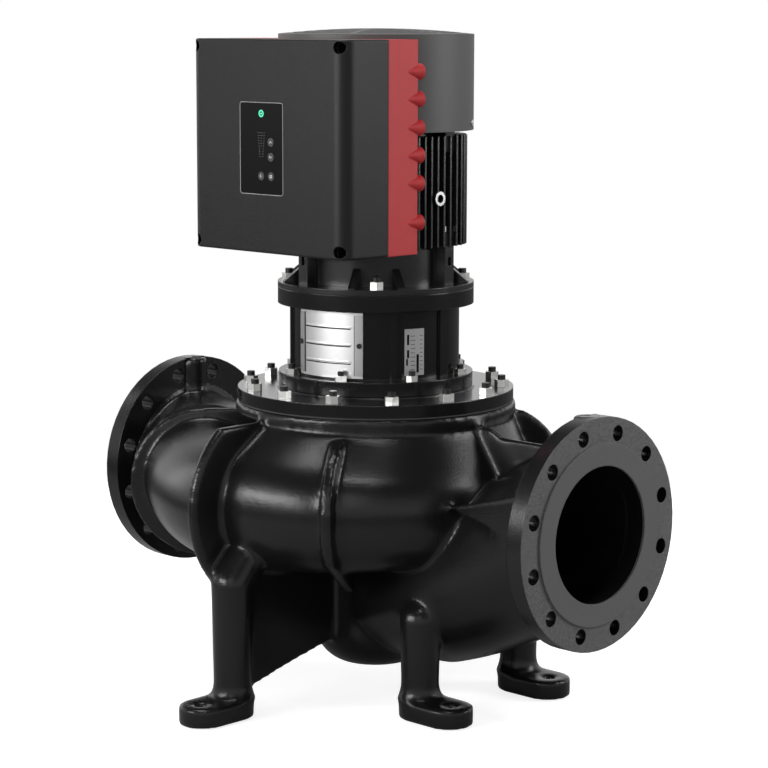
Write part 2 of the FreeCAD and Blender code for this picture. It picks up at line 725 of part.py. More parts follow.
def feet():
    """Four feet with their columns and the webs of the two that stand away from the suction bend."""
    solids = []
    for tip, outward, top, head in FEET:
        solids.append(foot_pad(tip, outward))
        solids += foot_column(tip, outward, top, head)
    solids.append(foot_web(column_centre(*FEET[0][:2]), WEB_HOLLOW))
    solids.append(foot_web(column_centre(*FEET[3][:2]), BACK_WEB_HOLLOW))
    return solids


def housing_outside():
    """Outer forms of the casting."""
    spiral = Part.makeLoft([shoulder_section(a) for a in spiral_angles(SPIRAL_SECTIONS)], True, False)
    core = cylinder(CHAMBER_R + CASING_WALL, CHAMBER_BOTTOM_Z - CASING_WALL, CASING_TOP_Z - 1.0)
    top_ring = cylinder(TOP_RING_R, CASING_TOP_Z - TOP_RING_DEPTH, CASING_TOP_Z)
    throat = Part.Face(shoulder_section(VOLUTE_END_DEG)).extrude(V(RIB_A_X, 0, 0))
    forms = [spiral, throat, core, top_ring, bowl(BOWL_R, BOWL_BOTTOM_Z)]
    neck_end = HALF_LENGTH - RAISED_FACE_HEIGHT - OVERLAP
    forms += [suction(NECK_R, 0.0, neck_end), duct(0.0, DUCT_END_R, neck_end)]
    return forms + pipe_flange(1) + pipe_flange(-1) + volute_ribs() + duct_collars() + feet()


def housing_inside():
    """Water passages, chamber, ports and holes of the casting."""
    passage = [circle_wire(tube_centre(a), at_angle(1.0, a - 90.0), tube_radius(a) - CASING_WALL, Z_AXIS)
               for a in spiral_angles(SPIRAL_SECTIONS)]
    throat = tube_centre(VOLUTE_END_DEG)
    forms = [
        Part.makeLoft(passage, True, False),
        cylinder(CHAMBER_R, CHAMBER_BOTTOM_Z, CASING_TOP_Z + 1.0),
        cylinder(EYE_R, BOWL_BOTTOM_Z / 2, CHAMBER_BOTTOM_Z + 1.0),
        cylinder(NECK_RING_R, CHAMBER_BOTTOM_Z - NECK_RING_HEIGHT, CHAMBER_BOTTOM_Z + 1.0),
        bowl(BOWL_R - BEND_WALL, BOWL_BOTTOM_Z + BEND_WALL),
        rod(TUBE_END_R - CASING_WALL, throat, V(RIB_A_X, throat.y, throat.z)),
        suction(BORE_R, BEND_WALL, HALF_LENGTH + OVERLAP),
        duct(CASING_WALL, BORE_R, HALF_LENGTH + OVERLAP),
    ]
    forms += pipe_flange_cuts(1) + pipe_flange_cuts(-1)
    stud_hole = cylinder(STUD_M12_R, CASING_TOP_Z - STUD_DEPTH - 1.0, CASING_TOP_Z + 1.0,
                         COVER_STUD_CIRCLE_R, 0)
    forms += around(stud_hole, COVER_STUDS, 90.0)
    for tip, outward, _, _ in FEET:
        place = foot_hole_centre(tip, outward)
        forms.append(cylinder(FOOT_HOLE_R, FLOOR_Z - 1.0, FLOOR_Z + FOOT_THICK + 1.0, place.x, place.y))
    return forms


def pump_housing():
    """Casting with both pipe flanges, the spiral, the suction bend, ribs and feet."""
    outside = housing_outside()
    casting = outside[0].fuse(outside[1:])
    return casting.cut(housing_inside())


def neck_ring():
    """Wear ring in the casing under the impeller's eye."""
    return ring(NECK_RING_R, NECK_RING_BORE, CHAMBER_BOTTOM_Z - NECK_RING_HEIGHT, CHAMBER_BOTTOM_Z - 1.0)


def pump_cover():
    """Dished cover with the seal chamber in its hub."""
    plug_r = CHAMBER_R - COVER_FIT
    plate_top = COVER_PLATE_Z + COVER_PLATE_THICK
    outline = [
        (COVER_BORE_R, COVER_PLATE_Z), (plug_r, COVER_PLATE_Z), (plug_r, COVER_SEAT_Z),
        (COVER_R, COVER_SEAT_Z), (COVER_R, COVER_TOP_Z), (COVER_HUB_R, COVER_TOP_Z),
        (COVER_HUB_R, STOOL_Z), (STOOL_BORE_R + 8.0, STOOL_Z), (STOOL_BORE_R + 8.0, COVER_SEAT_Z - 6.0),
        (plug_r - 16.0, COVER_SEAT_Z - 20.0), (plug_r - 22.0, plate_top), (SEAL_CHAMBER_R + 12.0, plate_top),
        (SEAL_CHAMBER_R + 10.0, COVER_SEAT_Z), (PUMP_SHAFT_R + 5.0, COVER_SEAT_Z),
        (PUMP_SHAFT_R + 5.0, SEAL_CHAMBER_TOP_Z), (SEAL_CHAMBER_R, SEAL_CHAMBER_TOP_Z),
        (SEAL_CHAMBER_R, plate_top - 8.0), (COVER_BORE_R, plate_top - 8.0),
    ]
    body = revolve(outline)
    holes = around(cylinder(STUD_M12_R + HOLE_CLEARANCE, COVER_SEAT_Z - 1, COVER_TOP_Z + 1,
                            COVER_STUD_CIRCLE_R, 0), COVER_STUDS, 90.0)
    holes += around(cylinder(STUD_M10_R, COVER_SEAT_Z + 3.0, STOOL_Z + 1.0, STOOL_STUD_CIRCLE_R, 0),
                    STOOL_STUDS, 22.5)
    vent = at_angle(VENT_CIRCLE_R, VENT_DEG)
    holes.append(cylinder(VENT_R, COVER_SEAT_Z + 6.0, COVER_TOP_Z + 1.0, vent.x, vent.y))
    return body.cut(holes)


def cover_gasket():
    """Flat gasket between the casing and the cover."""
    body = ring(COVER_R, CHAMBER_R, CASING_TOP_Z, COVER_SEAT_Z)
    holes = around(cylinder(STUD_M12_R + HOLE_CLEARANCE, CASING_TOP_Z - 1, COVER_SEAT_Z + 1,
                            COVER_STUD_CIRCLE_R, 0), COVER_STUDS, 90.0)
    return body.cut(holes)


def cover_studs():
    """Studs screwed into the casing's top ring."""
    top = COVER_TOP_Z + NUT_M12_HEIGHT + STUD_TIP
    stud = cylinder(STUD_M12_R, CASING_TOP_Z - STUD_DEPTH, top, COVER_STUD_CIRCLE_R, 0)
    return around(stud, COVER_STUDS, 90.0)


def cover_nuts():
    """Nuts on the cover studs."""
    nut = hex_nut(NUT_M12_FLATS, NUT_M12_HEIGHT, STUD_M12_R, V(COVER_STUD_CIRCLE_R, 0, COVER_TOP_Z))
    return around(nut, COVER_STUDS, 90.0)


def vent_body():
    """Air vent screwed into the cover beside the stool."""
    centre = at_angle(VENT_CIRCLE_R, VENT_DEG)
    top = COVER_TOP_Z + VENT_HEIGHT
    stem = cylinder(VENT_R, COVER_SEAT_Z + 6.0, COVER_TOP_Z, centre.x, centre.y)
    head = hex_nut(VENT_FLATS, VENT_HEIGHT, VENT_NEEDLE_R, V(centre.x, centre.y, COVER_TOP_Z))
    bore = cylinder(VENT_NEEDLE_R, COVER_TOP_Z - VENT_NEEDLE_DEPTH, top + 1.0, centre.x, centre.y)
    return stem.fuse(head).cut(bore).removeSplitter()


def vent_screw():
    """Needle screw of the air vent, with a crossbar to turn it."""
    centre = at_angle(VENT_CIRCLE_R, VENT_DEG)
    top = COVER_TOP_Z + VENT_HEIGHT
    needle = cylinder(VENT_NEEDLE_R - VENT_NEEDLE_FIT, COVER_TOP_Z - VENT_NEEDLE_DEPTH + 1.0, top + 6.0,
                      centre.x, centre.y)
    bar = block(centre.x - 8.0, centre.x + 8.0, centre.y - 1.6, centre.y + 1.6, top + 1.0, top + 6.0)
    return union([needle, bar])


def tapping_plugs():
    """Hexagon socket plugs in the flange tappings."""
    plugs = []
    for side in (1, -1):
        x = side * FLANGE_BACK_X
        plug = cylinder(TAPPING_R, FLANGE_R - TAPPING_DEPTH, FLANGE_R - 1.0, x, 0)
        socket = Part.Face(Part.makePolygon([V(x + 3.4 * math.cos(math.radians(60 * i)),
                                               3.4 * math.sin(math.radians(60 * i)), FLANGE_R - 6.0)
                                             for i in range(7)])).extrude(V(0, 0, 6.0))
        plugs.append(plug.cut(socket))
    return plugs


def motor_stool():
    """Lantern between the pump cover and the motor, with two windows over the coupling."""
    foot = ring(STOOL_FOOT_R, STOOL_BORE_R, STOOL_Z, STOOL_Z + STOOL_FOOT_THICK)
    body = ring(STOOL_BODY_R, STOOL_BORE_R, STOOL_Z, STOOL_TOP_Z)
    head = ring(STOOL_TOP_R, STOOL_BORE_R, STOOL_TOP_Z - STOOL_TOP_THICK, STOOL_TOP_Z)
    ribs = []
    for degrees, width in ((WINDOW_DEG + 46.5, 9.0), (WINDOW_DEG + 86.0, 20.0), (WINDOW_DEG - 94.0, 9.0),
                           (WINDOW_DEG - 46.5, 9.0)):
        bar = block(STOOL_BODY_R - 6.0, STOOL_BODY_R + 4.0, -width / 2, width / 2,
                    STOOL_Z + STOOL_FOOT_THICK - 1.0, STOOL_TOP_Z - STOOL_TOP_THICK + 1.0)
        ribs.append(turned(bar, degrees))
    body = union([foot, body, head] + ribs)
    cuts = [turned(window_wedge(WINDOW_HALF_DEG, WINDOW_MARGIN), WINDOW_DEG + 180.0 * i) for i in range(2)]
    cuts += around(cylinder(STUD_M10_R + HOLE_CLEARANCE, STOOL_Z - 1, STOOL_Z + STOOL_FOOT_THICK + 1,
                            STOOL_STUD_CIRCLE_R, 0), STOOL_STUDS, 22.5)
    cuts += around(cylinder(STUD_M12_R, STOOL_TOP_Z - STOOL_TOP_THICK + 3.0, STOOL_TOP_Z + 1,
                            MOTOR_BOLT_CIRCLE_R, 0), 4, 45.0)
    for i in range(2):
        for side in (-1, 1):
            degrees = WINDOW_DEG + 180.0 * i + side * (WINDOW_HALF_DEG + GUARD_LAP_DEG * 0.55)
            hole = rod(GUARD_SCREW_R, V(STOOL_BODY_R - 8.0, 0, WINDOW_MID_Z),
                       V(STOOL_BODY_R + 6.0, 0, WINDOW_MID_Z))
            cuts.append(turned(hole, degrees))
    return body.cut(cuts)


def window_wedge(half_degrees, margin):
    """Wedge about +X that opens the stool's wall between its two flanges."""
    low = STOOL_Z + STOOL_FOOT_THICK + margin
    high = STOOL_TOP_Z - STOOL_TOP_THICK - margin
    reach = STOOL_FOOT_R / math.cos(math.radians(half_degrees))
    inner = STOOL_BORE_R * 0.8
    points = [V(inner * math.cos(math.radians(a)), inner * math.sin(math.radians(a)), low)
              for a in (-half_degrees, half_degrees)]
    points += [V(reach * math.cos(math.radians(a)), reach * math.sin(math.radians(a)), low)
               for a in (half_degrees, -half_degrees)]
    return Part.Face(Part.makePolygon(points + [points[0]])).extrude(V(0, 0, high - low))


def stool_studs():
    """Studs that hold the stool on the pump cover."""
    top = STOOL_Z + STOOL_FOOT_THICK + NUT_M10_HEIGHT + STUD_TIP
    stud = cylinder(STUD_M10_R, COVER_SEAT_Z + 4.0, top, STOOL_STUD_CIRCLE_R, 0)
    return around(stud, STOOL_STUDS, 22.5)


def stool_nuts():
    """Nuts on the stool's foot."""
    nut = hex_nut(NUT_M10_FLATS, NUT_M10_HEIGHT, STUD_M10_R,
                  V(STOOL_STUD_CIRCLE_R, 0, STOOL_Z + STOOL_FOOT_THICK))
    nut.rotate(V(STOOL_STUD_CIRCLE_R, 0, 0), Z_AXIS, 30)
    return around(nut, STOOL_STUDS, 22.5)


def coupling_guard(index):
    """Stainless sheet bent over one window, with three pressed ridges."""
    half = WINDOW_HALF_DEG + GUARD_LAP_DEG
    low = STOOL_Z + STOOL_FOOT_THICK + WINDOW_MARGIN - GUARD_MARGIN
    high = STOOL_TOP_Z - STOOL_TOP_THICK - WINDOW_MARGIN + GUARD_MARGIN
    inner = STOOL_BODY_R
    sheet = ring(inner + GUARD_THICK, inner, low, high)
    ridges = [ring(inner + GUARD_THICK + 1.2, inner + GUARD_THICK - 0.4, z, z + 2.4)
              for z in (low + (high - low) * k for k in (0.24, 0.5, 0.76))]
    sector = wedge(half, inner - 2.0, inner + GUARD_THICK + 4.0, low - 1.0, high + 1.0)
    ridge_sector = wedge(WINDOW_HALF_DEG - 3.0, inner - 2.0, inner + GUARD_THICK + 4.0, low, high)
    guard = union([sheet.common(sector)] + [r.common(ridge_sector) for r in ridges])
    for side in (-1, 1):
        hole = rod(GUARD_SCREW_R, V(inner - 4.0, 0, WINDOW_MID_Z), V(inner + 6.0, 0, WINDOW_MID_Z))
        guard = guard.cut(turned(hole, side * (WINDOW_HALF_DEG + GUARD_LAP_DEG * 0.55)))
    return turned(guard, WINDOW_DEG + 180.0 * index)


def wedge(half_degrees, inner, outer, low, high):
    """Wedge-shaped block about +X between two radii."""
    reach = outer / math.cos(math.radians(half_degrees))
    start = inner * 0.9
    corners = [(start, -half_degrees), (reach, -half_degrees), (reach, half_degrees), (start, half_degrees)]
    points = [V(r * math.cos(math.radians(a)), r * math.sin(math.radians(a)), low) for r, a in corners]
    return Part.Face(Part.makePolygon(points + [points[0]])).extrude(V(0, 0, high - low))


def guard_screws():
    """Round-headed screws through the guards' edges."""
    screws = []
    for i in range(2):
        for side in (-1, 1):
            degrees = WINDOW_DEG + 180.0 * i + side * (WINDOW_HALF_DEG + GUARD_LAP_DEG * 0.55)
            outer = STOOL_BODY_R + GUARD_THICK
            shank = rod(GUARD_SCREW_R, V(STOOL_BODY_R - 8.0, 0, WINDOW_MID_Z), V(outer, 0, WINDOW_MID_Z))
            head = rod(GUARD_SCREW_R * 2.0, V(outer + 0.15, 0, WINDOW_MID_Z), V(outer + 2.6, 0, WINDOW_MID_Z))
            neck = rod(GUARD_SCREW_R, V(outer, 0, WINDOW_MID_Z), V(outer + 1.0, 0, WINDOW_MID_Z))
            screws.append(turned(union([shank, neck, head]), degrees))
    return screws


def coupling_halves():
    """Two half shells that clamp the motor shaft to the pump shaft."""
    body = ring(COUPLING_R, PUMP_SHAFT_R, COUPLING_BOTTOM_Z, COUPLING_TOP_Z)
    body = body.cut(cylinder(MOTOR_SHAFT_R, MOTOR_SHAFT_END_Z - 1.0, COUPLING_TOP_Z + 1.0))
    body = body.cut(cylinder(COUPLING_R - 14.0, MOTOR_SHAFT_END_Z - 14.0, MOTOR_SHAFT_END_Z - 1.0))
    halves = []
    for side in (-1, 1):
        y0 = COUPLING_SPLIT / 2 if side > 0 else -COUPLING_R - 1.0
        y1 = COUPLING_R + 1.0 if side > 0 else -COUPLING_SPLIT / 2
        half = body.common(block(-COUPLING_R - 1, COUPLING_R + 1, y0, y1, COUPLING_BOTTOM_Z, COUPLING_TOP_Z))
        for x, z in coupling_bolt_places():
            half = half.cut(rod(COUPLING_SCREW_R, V(x, -COUPLING_R - 1, z), V(x, COUPLING_R + 1, z)))
            seat = rod(COUPLING_SCREW_R * 1.9, V(x, -COUPLING_R - 1, z), V(x, -COUPLING_HEAD_Y, z))
            half = half.cut(seat)
        halves.append(half)
    return halves


def coupling_bolt_places():
    """Where the clamp screws cross the coupling's joint."""
    x = (COUPLING_R + MOTOR_SHAFT_R) / 2
    return [(sx * x, z) for sx in (-1, 1) for z in (COUPLING_BOTTOM_Z + 18.0, COUPLING_TOP_Z - 18.0)]


def coupling_screws():
    """Four socket screws that close the coupling."""
    screws = []
    for x, z in coupling_bolt_places():
        reach = math.sqrt(COUPLING_R ** 2 - (abs(x) + COUPLING_SCREW_R * 1.9) ** 2) - 1.0
        shank = rod(COUPLING_SCREW_R, V(x, -COUPLING_HEAD_Y, z), V(x, reach, z))
        head = rod(COUPLING_SCREW_R * 1.8, V(x, -COUPLING_HEAD_Y - 4.0, z), V(x, -COUPLING_HEAD_Y, z))
        screws.append(union([shank, head]))
    return screws


def pump_shaft():
    """Stub shaft that carries the impeller, threaded at its foot for the impeller nut."""
    foot = IMPELLER_BOTTOM_Z - IMPELLER_NUT_HEIGHT - 4.0
    main_part = cylinder(PUMP_SHAFT_R, IMPELLER_BOTTOM_Z + 2.0, PUMP_SHAFT_TOP_Z)
    stub = cylinder(IMPELLER_STUB_R, foot, IMPELLER_BOTTOM_Z + 2.0)
    key_seat = block(PUMP_SHAFT_R - KEY_DEPTH, PUMP_SHAFT_R + 1.0, -KEY_WIDTH / 2, KEY_WIDTH / 2,
                     IMPELLER_BOTTOM_Z + 12.0, IMPELLER_BOTTOM_Z + 12.0 + KEY_LENGTH)
    return union([main_part, stub]).cut(key_seat)


def impeller_key():
    """Key between the impeller and its shaft."""
    return block(PUMP_SHAFT_R - KEY_DEPTH, PUMP_SHAFT_R + KEY_DEPTH * 0.7, -KEY_WIDTH / 2, KEY_WIDTH / 2,
                 IMPELLER_BOTTOM_Z + 12.0, IMPELLER_BOTTOM_Z + 12.0 + KEY_LENGTH)


def impeller():
    """Closed impeller: hub, back shroud, front shroud with the eye, and swept blades."""
    low = VOLUTE_Z - IMPELLER_OUTLET_WIDTH / 2
    high = VOLUTE_Z + IMPELLER_OUTLET_WIDTH / 2
    back = [
        (PUMP_SHAFT_R, IMPELLER_BOTTOM_Z), (IMPELLER_HUB_R, IMPELLER_BOTTOM_Z),
        (IMPELLER_HUB_R + 4.0, low), (IMPELLER_HUB_R + 18.0, VOLUTE_Z + 8.0), (IMPELLER_EYE_R, high),
        (IMPELLER_R, high), (IMPELLER_R, high + IMPELLER_WALL), (IMPELLER_HUB_R + 6.0, high + IMPELLER_WALL),
        (IMPELLER_HUB_R, high + 16.0), (PUMP_SHAFT_R, high + 16.0),
    ]
    eye_in = IMPELLER_EYE_R - IMPELLER_WALL
    front = [
        (IMPELLER_EYE_R - RUNNING_GAP, CHAMBER_BOTTOM_Z - NECK_RING_HEIGHT + 2.0),
        (IMPELLER_EYE_R - RUNNING_GAP, CHAMBER_BOTTOM_Z + 4.0), (IMPELLER_EYE_R + 8.0, low - IMPELLER_WALL),
        (IMPELLER_R, low - IMPELLER_WALL), (IMPELLER_R, low), (IMPELLER_EYE_R + 4.0, low),
        (eye_in, CHAMBER_BOTTOM_Z + 2.0), (eye_in, CHAMBER_BOTTOM_Z - NECK_RING_HEIGHT + 2.0),
    ]
    pieces = [revolve(back), revolve(front)]
    for i in range(IMPELLER_BLADES):
        pieces.append(turned(impeller_blade(low, high), 360.0 / IMPELLER_BLADES * i))
    body = pieces[0].fuse(pieces[1:])
    key_way = block(0.0, PUMP_SHAFT_R + KEY_DEPTH * 0.7, -KEY_WIDTH / 2, KEY_WIDTH / 2,
                    IMPELLER_BOTTOM_Z - 1.0, high + 17.0)
    return body.cut(key_way)


def impeller_blade(low, high):
    """Backward-swept blade between the shrouds."""
    start = at_angle(IMPELLER_EYE_R - 12.0, 0.0, low - 1.0)
    middle = at_angle((IMPELLER_EYE_R + IMPELLER_R) / 2 - 6.0, 30.0, low - 1.0)
    end = at_angle(IMPELLER_R - 1.5, 70.0, low - 1.0)
    start_in = at_angle(IMPELLER_EYE_R - 12.0, 4.0, low - 1.0)
    middle_in = at_angle((IMPELLER_EYE_R + IMPELLER_R) / 2 - 6.0, 33.0, low - 1.0)
    end_in = at_angle(IMPELLER_R - 1.5, 71.8, low - 1.0)
    edges = [
        Part.Arc(start, middle, end).toShape(),
        Part.makeLine(end, end_in),
        Part.Arc(end_in, middle_in, start_in).toShape(),
        Part.makeLine(start_in, start),
    ]
    return Part.Face(Part.Wire(edges)).extrude(V(0, 0, high - low + 2.0))


def impeller_nut():
    """Nut under the impeller hub."""
    low = V(0, 0, IMPELLER_BOTTOM_Z - IMPELLER_NUT_HEIGHT)
    return hex_nut(IMPELLER_NUT_FLATS, IMPELLER_NUT_HEIGHT, IMPELLER_STUB_R, low)


def seal_seat():
    """Fixed ring of the shaft seal, seated in the cover."""
    low = COVER_PLATE_Z + COVER_PLATE_THICK - 8.0
    return ring(SEAL_CHAMBER_R, PUMP_SHAFT_R + 2.0, low, low + 10.0)


def seal_ring():
    """Turning ring of the shaft seal."""
    low = COVER_PLATE_Z + COVER_PLATE_THICK + 2.0 + RUNNING_GAP
    return ring(SEAL_CHAMBER_R - 5.0, PUMP_SHAFT_R, low, low + 9.0)


def seal_collar():
    """Collar that the seal's spring bears on."""
    low = SEAL_CHAMBER_TOP_Z - 12.0
    return ring(SEAL_CHAMBER_R - 5.0, PUMP_SHAFT_R, low, low + 8.0)


def seal_bellows():
    """Folded bellows that presses the turning ring down from the collar."""
    low = COVER_PLATE_Z + COVER_PLATE_THICK + 2.0 + RUNNING_GAP + 9.0
    high = SEAL_CHAMBER_TOP_Z - 12.0
    inner = PUMP_SHAFT_R + 0.6
    pitch = (high - low) / BELLOWS_FOLDS
    outline = [(inner, low)]
    for i in range(BELLOWS_FOLDS):
        outline.append((inner + 2.0, low + pitch * i))
        outline.append((inner + 5.0, low + pitch * (i + 0.5)))
    outline += [(inner + 2.0, high), (inner, high)]
    return revolve(outline)


def tie_lug(degrees, root, low, high):
    """Flat-sided boss for one tie screw."""
    reach = SHIELD_LUG_CIRCLE_R + SHIELD_LUG_R
    return turned(block(root, reach, -SHIELD_LUG_R, SHIELD_LUG_R, low, high), degrees)


def lug_window(degrees):
    """Small window in the outer face of a lug."""
    reach = SHIELD_LUG_CIRCLE_R + SHIELD_LUG_R
    return turned(block(reach - LUG_WINDOW_DEPTH, reach + 1.0, -LUG_WINDOW_WIDTH / 2, LUG_WINDOW_WIDTH / 2,
                        LUG_WINDOW_Z - LUG_WINDOW_HEIGHT / 2, LUG_WINDOW_Z + LUG_WINDOW_HEIGHT / 2), degrees)


def lower_end_shield():
    """Motor flange with the lower bearing housing, stiffened by ribs beside each bolt."""
    flange = ring(MOTOR_FLANGE_R, DRIVE_HOUSING_R - 2.0, STOOL_TOP_Z, MOTOR_FLANGE_TOP_Z)
    spigot_r = STOOL_BORE_R - MOTOR_SPIGOT_GAP
    spigot = ring(spigot_r, spigot_r - 12.0, STOOL_TOP_Z - MOTOR_SPIGOT_HEIGHT, STOOL_TOP_Z + 1.0)
    wall = ring(SHIELD_R, SHIELD_R - SHIELD_WALL, STOOL_TOP_Z, SHIELD_TOP_Z)
    hub = ring(DRIVE_HOUSING_R, SHAFT_HOLE_R, STOOL_TOP_Z, DRIVE_BEARING_Z + BEARING_WIDTH)
    pieces = [flange, spigot, wall, hub]
    rise = SHIELD_RIB_RISE
    rib = [(SHIELD_R - 3.0, MOTOR_FLANGE_TOP_Z - 1.0), (MOTOR_FLANGE_R - 5.0, MOTOR_FLANGE_TOP_Z - 1.0),
           (MOTOR_FLANGE_R - 5.0, MOTOR_FLANGE_TOP_Z + 2.0), (SHIELD_R + 3.0, MOTOR_FLANGE_TOP_Z + rise),
           (SHIELD_R - 3.0, MOTOR_FLANGE_TOP_Z + rise)]
    one_rib = plate(rib, SHIELD_RIB_THICK, X_AXIS, Z_AXIS, ORIGIN)
    for bolt in range(4):
        for side in (-15.0, 15.0):
            pieces.append(turned(one_rib, 45.0 + 90.0 * bolt + side))
    for degrees in SHIELD_LUG_DEGREES:
        pieces.append(tie_lug(degrees, SHIELD_R - 4.0, MOTOR_FLANGE_TOP_Z - 1.0, SHIELD_TOP_Z))
    body = union(pieces)
    cuts = around(cylinder(STUD_M12_R + HOLE_CLEARANCE, STOOL_TOP_Z - 1, MOTOR_FLANGE_TOP_Z + 1,
                           MOTOR_BOLT_CIRCLE_R, 0), 4, 45.0)
    cuts.append(cylinder(BEARING_OUTER_R, DRIVE_BEARING_Z, DRIVE_BEARING_Z + BEARING_WIDTH + 1.0))
    for degrees in SHIELD_LUG_DEGREES:
        place = at_angle(SHIELD_LUG_CIRCLE_R, degrees)
        hole_foot = SHIELD_TOP_Z - TIE_SCREW_DEPTH
        cuts.append(cylinder(TIE_SCREW_R, hole_foot, SHIELD_TOP_Z + 1.0, place.x, place.y))
        cuts.append(lug_window(degrees))
    return body.cut(cuts)


def motor_studs():
    """Studs that hold the motor on the stool."""
    top = MOTOR_FLANGE_TOP_Z + NUT_M12_HEIGHT + STUD_TIP
    stud = cylinder(STUD_M12_R, STOOL_TOP_Z - STOOL_TOP_THICK + 4.0, top, MOTOR_BOLT_CIRCLE_R, 0)
    return around(stud, 4, 45.0)


def motor_nuts():
    """Nuts on the motor flange."""
    nut = hex_nut(NUT_M12_FLATS, NUT_M12_HEIGHT, STUD_M12_R, V(MOTOR_BOLT_CIRCLE_R, 0, MOTOR_FLANGE_TOP_Z))
    return around(nut, 4, 45.0)


def motor_frame():
    """Finned frame with four lugs, the drive box's pad and the eye boss."""
    barrel = cylinder(FRAME_R, SHIELD_TOP_Z, FRAME_TOP_Z)
    fins = []
    half = (FINS_PER_SIDE - 1) / 2
    for i in range(FINS_PER_SIDE):
        y = (i - half) * FIN_PITCH
        root = math.sqrt(FRAME_R ** 2 - (abs(y) + FIN_THICK) ** 2) - 1.5
        tip = min(FIN_SPAN, math.sqrt(FIN_CORNER_R ** 2 - y ** 2))
        fin = block(root, tip, y - FIN_THICK / 2, y + FIN_THICK / 2, SHIELD_TOP_Z + 4.0, FRAME_TOP_Z - 2.0)
        fins += [fin, turned(fin, 180.0), turned(fin, 90.0)]
    pad = block(-PAD_HALF_WIDTH, PAD_HALF_WIDTH, PAD_Y, -FRAME_R + 6.0, PAD_LOW_Z, PAD_HIGH_Z)
    lugs = []
    lug_root = FRAME_R - 4.0
    lug_top = SHIELD_TOP_Z + FRAME_LUG_HEIGHT
    for degrees in SHIELD_LUG_DEGREES:
        lugs.append(tie_lug(degrees, lug_root, SHIELD_TOP_Z, lug_top))
        lugs.append(tie_lug(degrees, lug_root, FRAME_TOP_Z - FRAME_LUG_HEIGHT, FRAME_TOP_Z))
    boss = rod(EYE_BOSS_R, V(FRAME_R - 5.0, 0, EYE_BOSS_Z), V(FIN_SPAN + 4.0, 0, EYE_BOSS_Z))
    body = barrel.fuse(fins + [pad, boss] + lugs)
    cuts = [cylinder(FRAME_BORE_R, SHIELD_TOP_Z - 1.0, FRAME_TOP_Z + 1.0)]
    cuts.append(rod(EYE_HOLE_R, V(FRAME_R + 2.0, 0, EYE_BOSS_Z), V(FIN_SPAN + 5.0, 0, EYE_BOSS_Z)))
    for degrees in SHIELD_LUG_DEGREES:
        place = at_angle(SHIELD_LUG_CIRCLE_R, degrees)
        clear_r = TIE_SCREW_R + HOLE_CLEARANCE
        cuts.append(cylinder(clear_r, SHIELD_TOP_Z - 1.0, lug_top + 1.0, place.x, place.y))
        cuts.append(cylinder(SHIELD_LUG_R - 2.0, lug_top, lug_top + TIE_HEAD_ROOM, place.x, place.y))
        cuts.append(cylinder(TIE_SCREW_R, FRAME_TOP_Z - 20.0, FRAME_TOP_Z + 1.0, place.x, place.y))
    for x, z in pad_screw_places():
        cuts.append(rod(PAD_SCREW_R, V(x, PAD_Y - 1.0, z), V(x, PAD_Y + 18.0, z)))
    return body.cut(cuts)


def pad_screw_places():
    """Four screws that hold the drive box on the frame's pad."""
    x = PAD_HALF_WIDTH - 12.0
    heights = (PAD_LOW_Z + PAD_SCREW_INSET, PAD_HIGH_Z - PAD_SCREW_INSET)
    return [(side * x, z) for side in (-1, 1) for z in heights]


def shield_screws():
    """Screws that tie both end shields to the frame."""
    screws = []
    for degrees in SHIELD_LUG_DEGREES:
        place = at_angle(SHIELD_LUG_CIRCLE_R, degrees)
        foot = SHIELD_TOP_Z + FRAME_LUG_HEIGHT
        shank = cylinder(TIE_SCREW_R, SHIELD_TOP_Z - TIE_SCREW_DEPTH + 2.0, foot, place.x, place.y)
        screws.append(union([shank, cylinder(TIE_SCREW_R * 1.7, foot, foot + 7.0, place.x, place.y)]))
        top = FRAME_TOP_Z + UPPER_FLANGE_THICK
        upper = cylinder(TIE_SCREW_R, FRAME_TOP_Z - 18.0, top, place.x, place.y)
        screws.append(union([upper, cylinder(TIE_SCREW_R * 1.7, top, top + 7.0, place.x, place.y)]))
    return screws


def stator_core():
    """Stack of stator sheets."""
    return ring(FRAME_BORE_R, ROTOR_R + AIR_GAP, CORE_MID_Z - CORE_LENGTH / 2, CORE_MID_Z + CORE_LENGTH / 2)


def stator_winding():
    """Winding heads at both ends of the stator."""
    heads = []
    for side in (-1, 1):
        near = CORE_MID_Z + side * CORE_LENGTH / 2
        far = near + side * WINDING_OVERHANG
        heads.append(ring(FRAME_BORE_R - 5.0, ROTOR_R + 5.0, min(near, far), max(near, far)))
    return heads


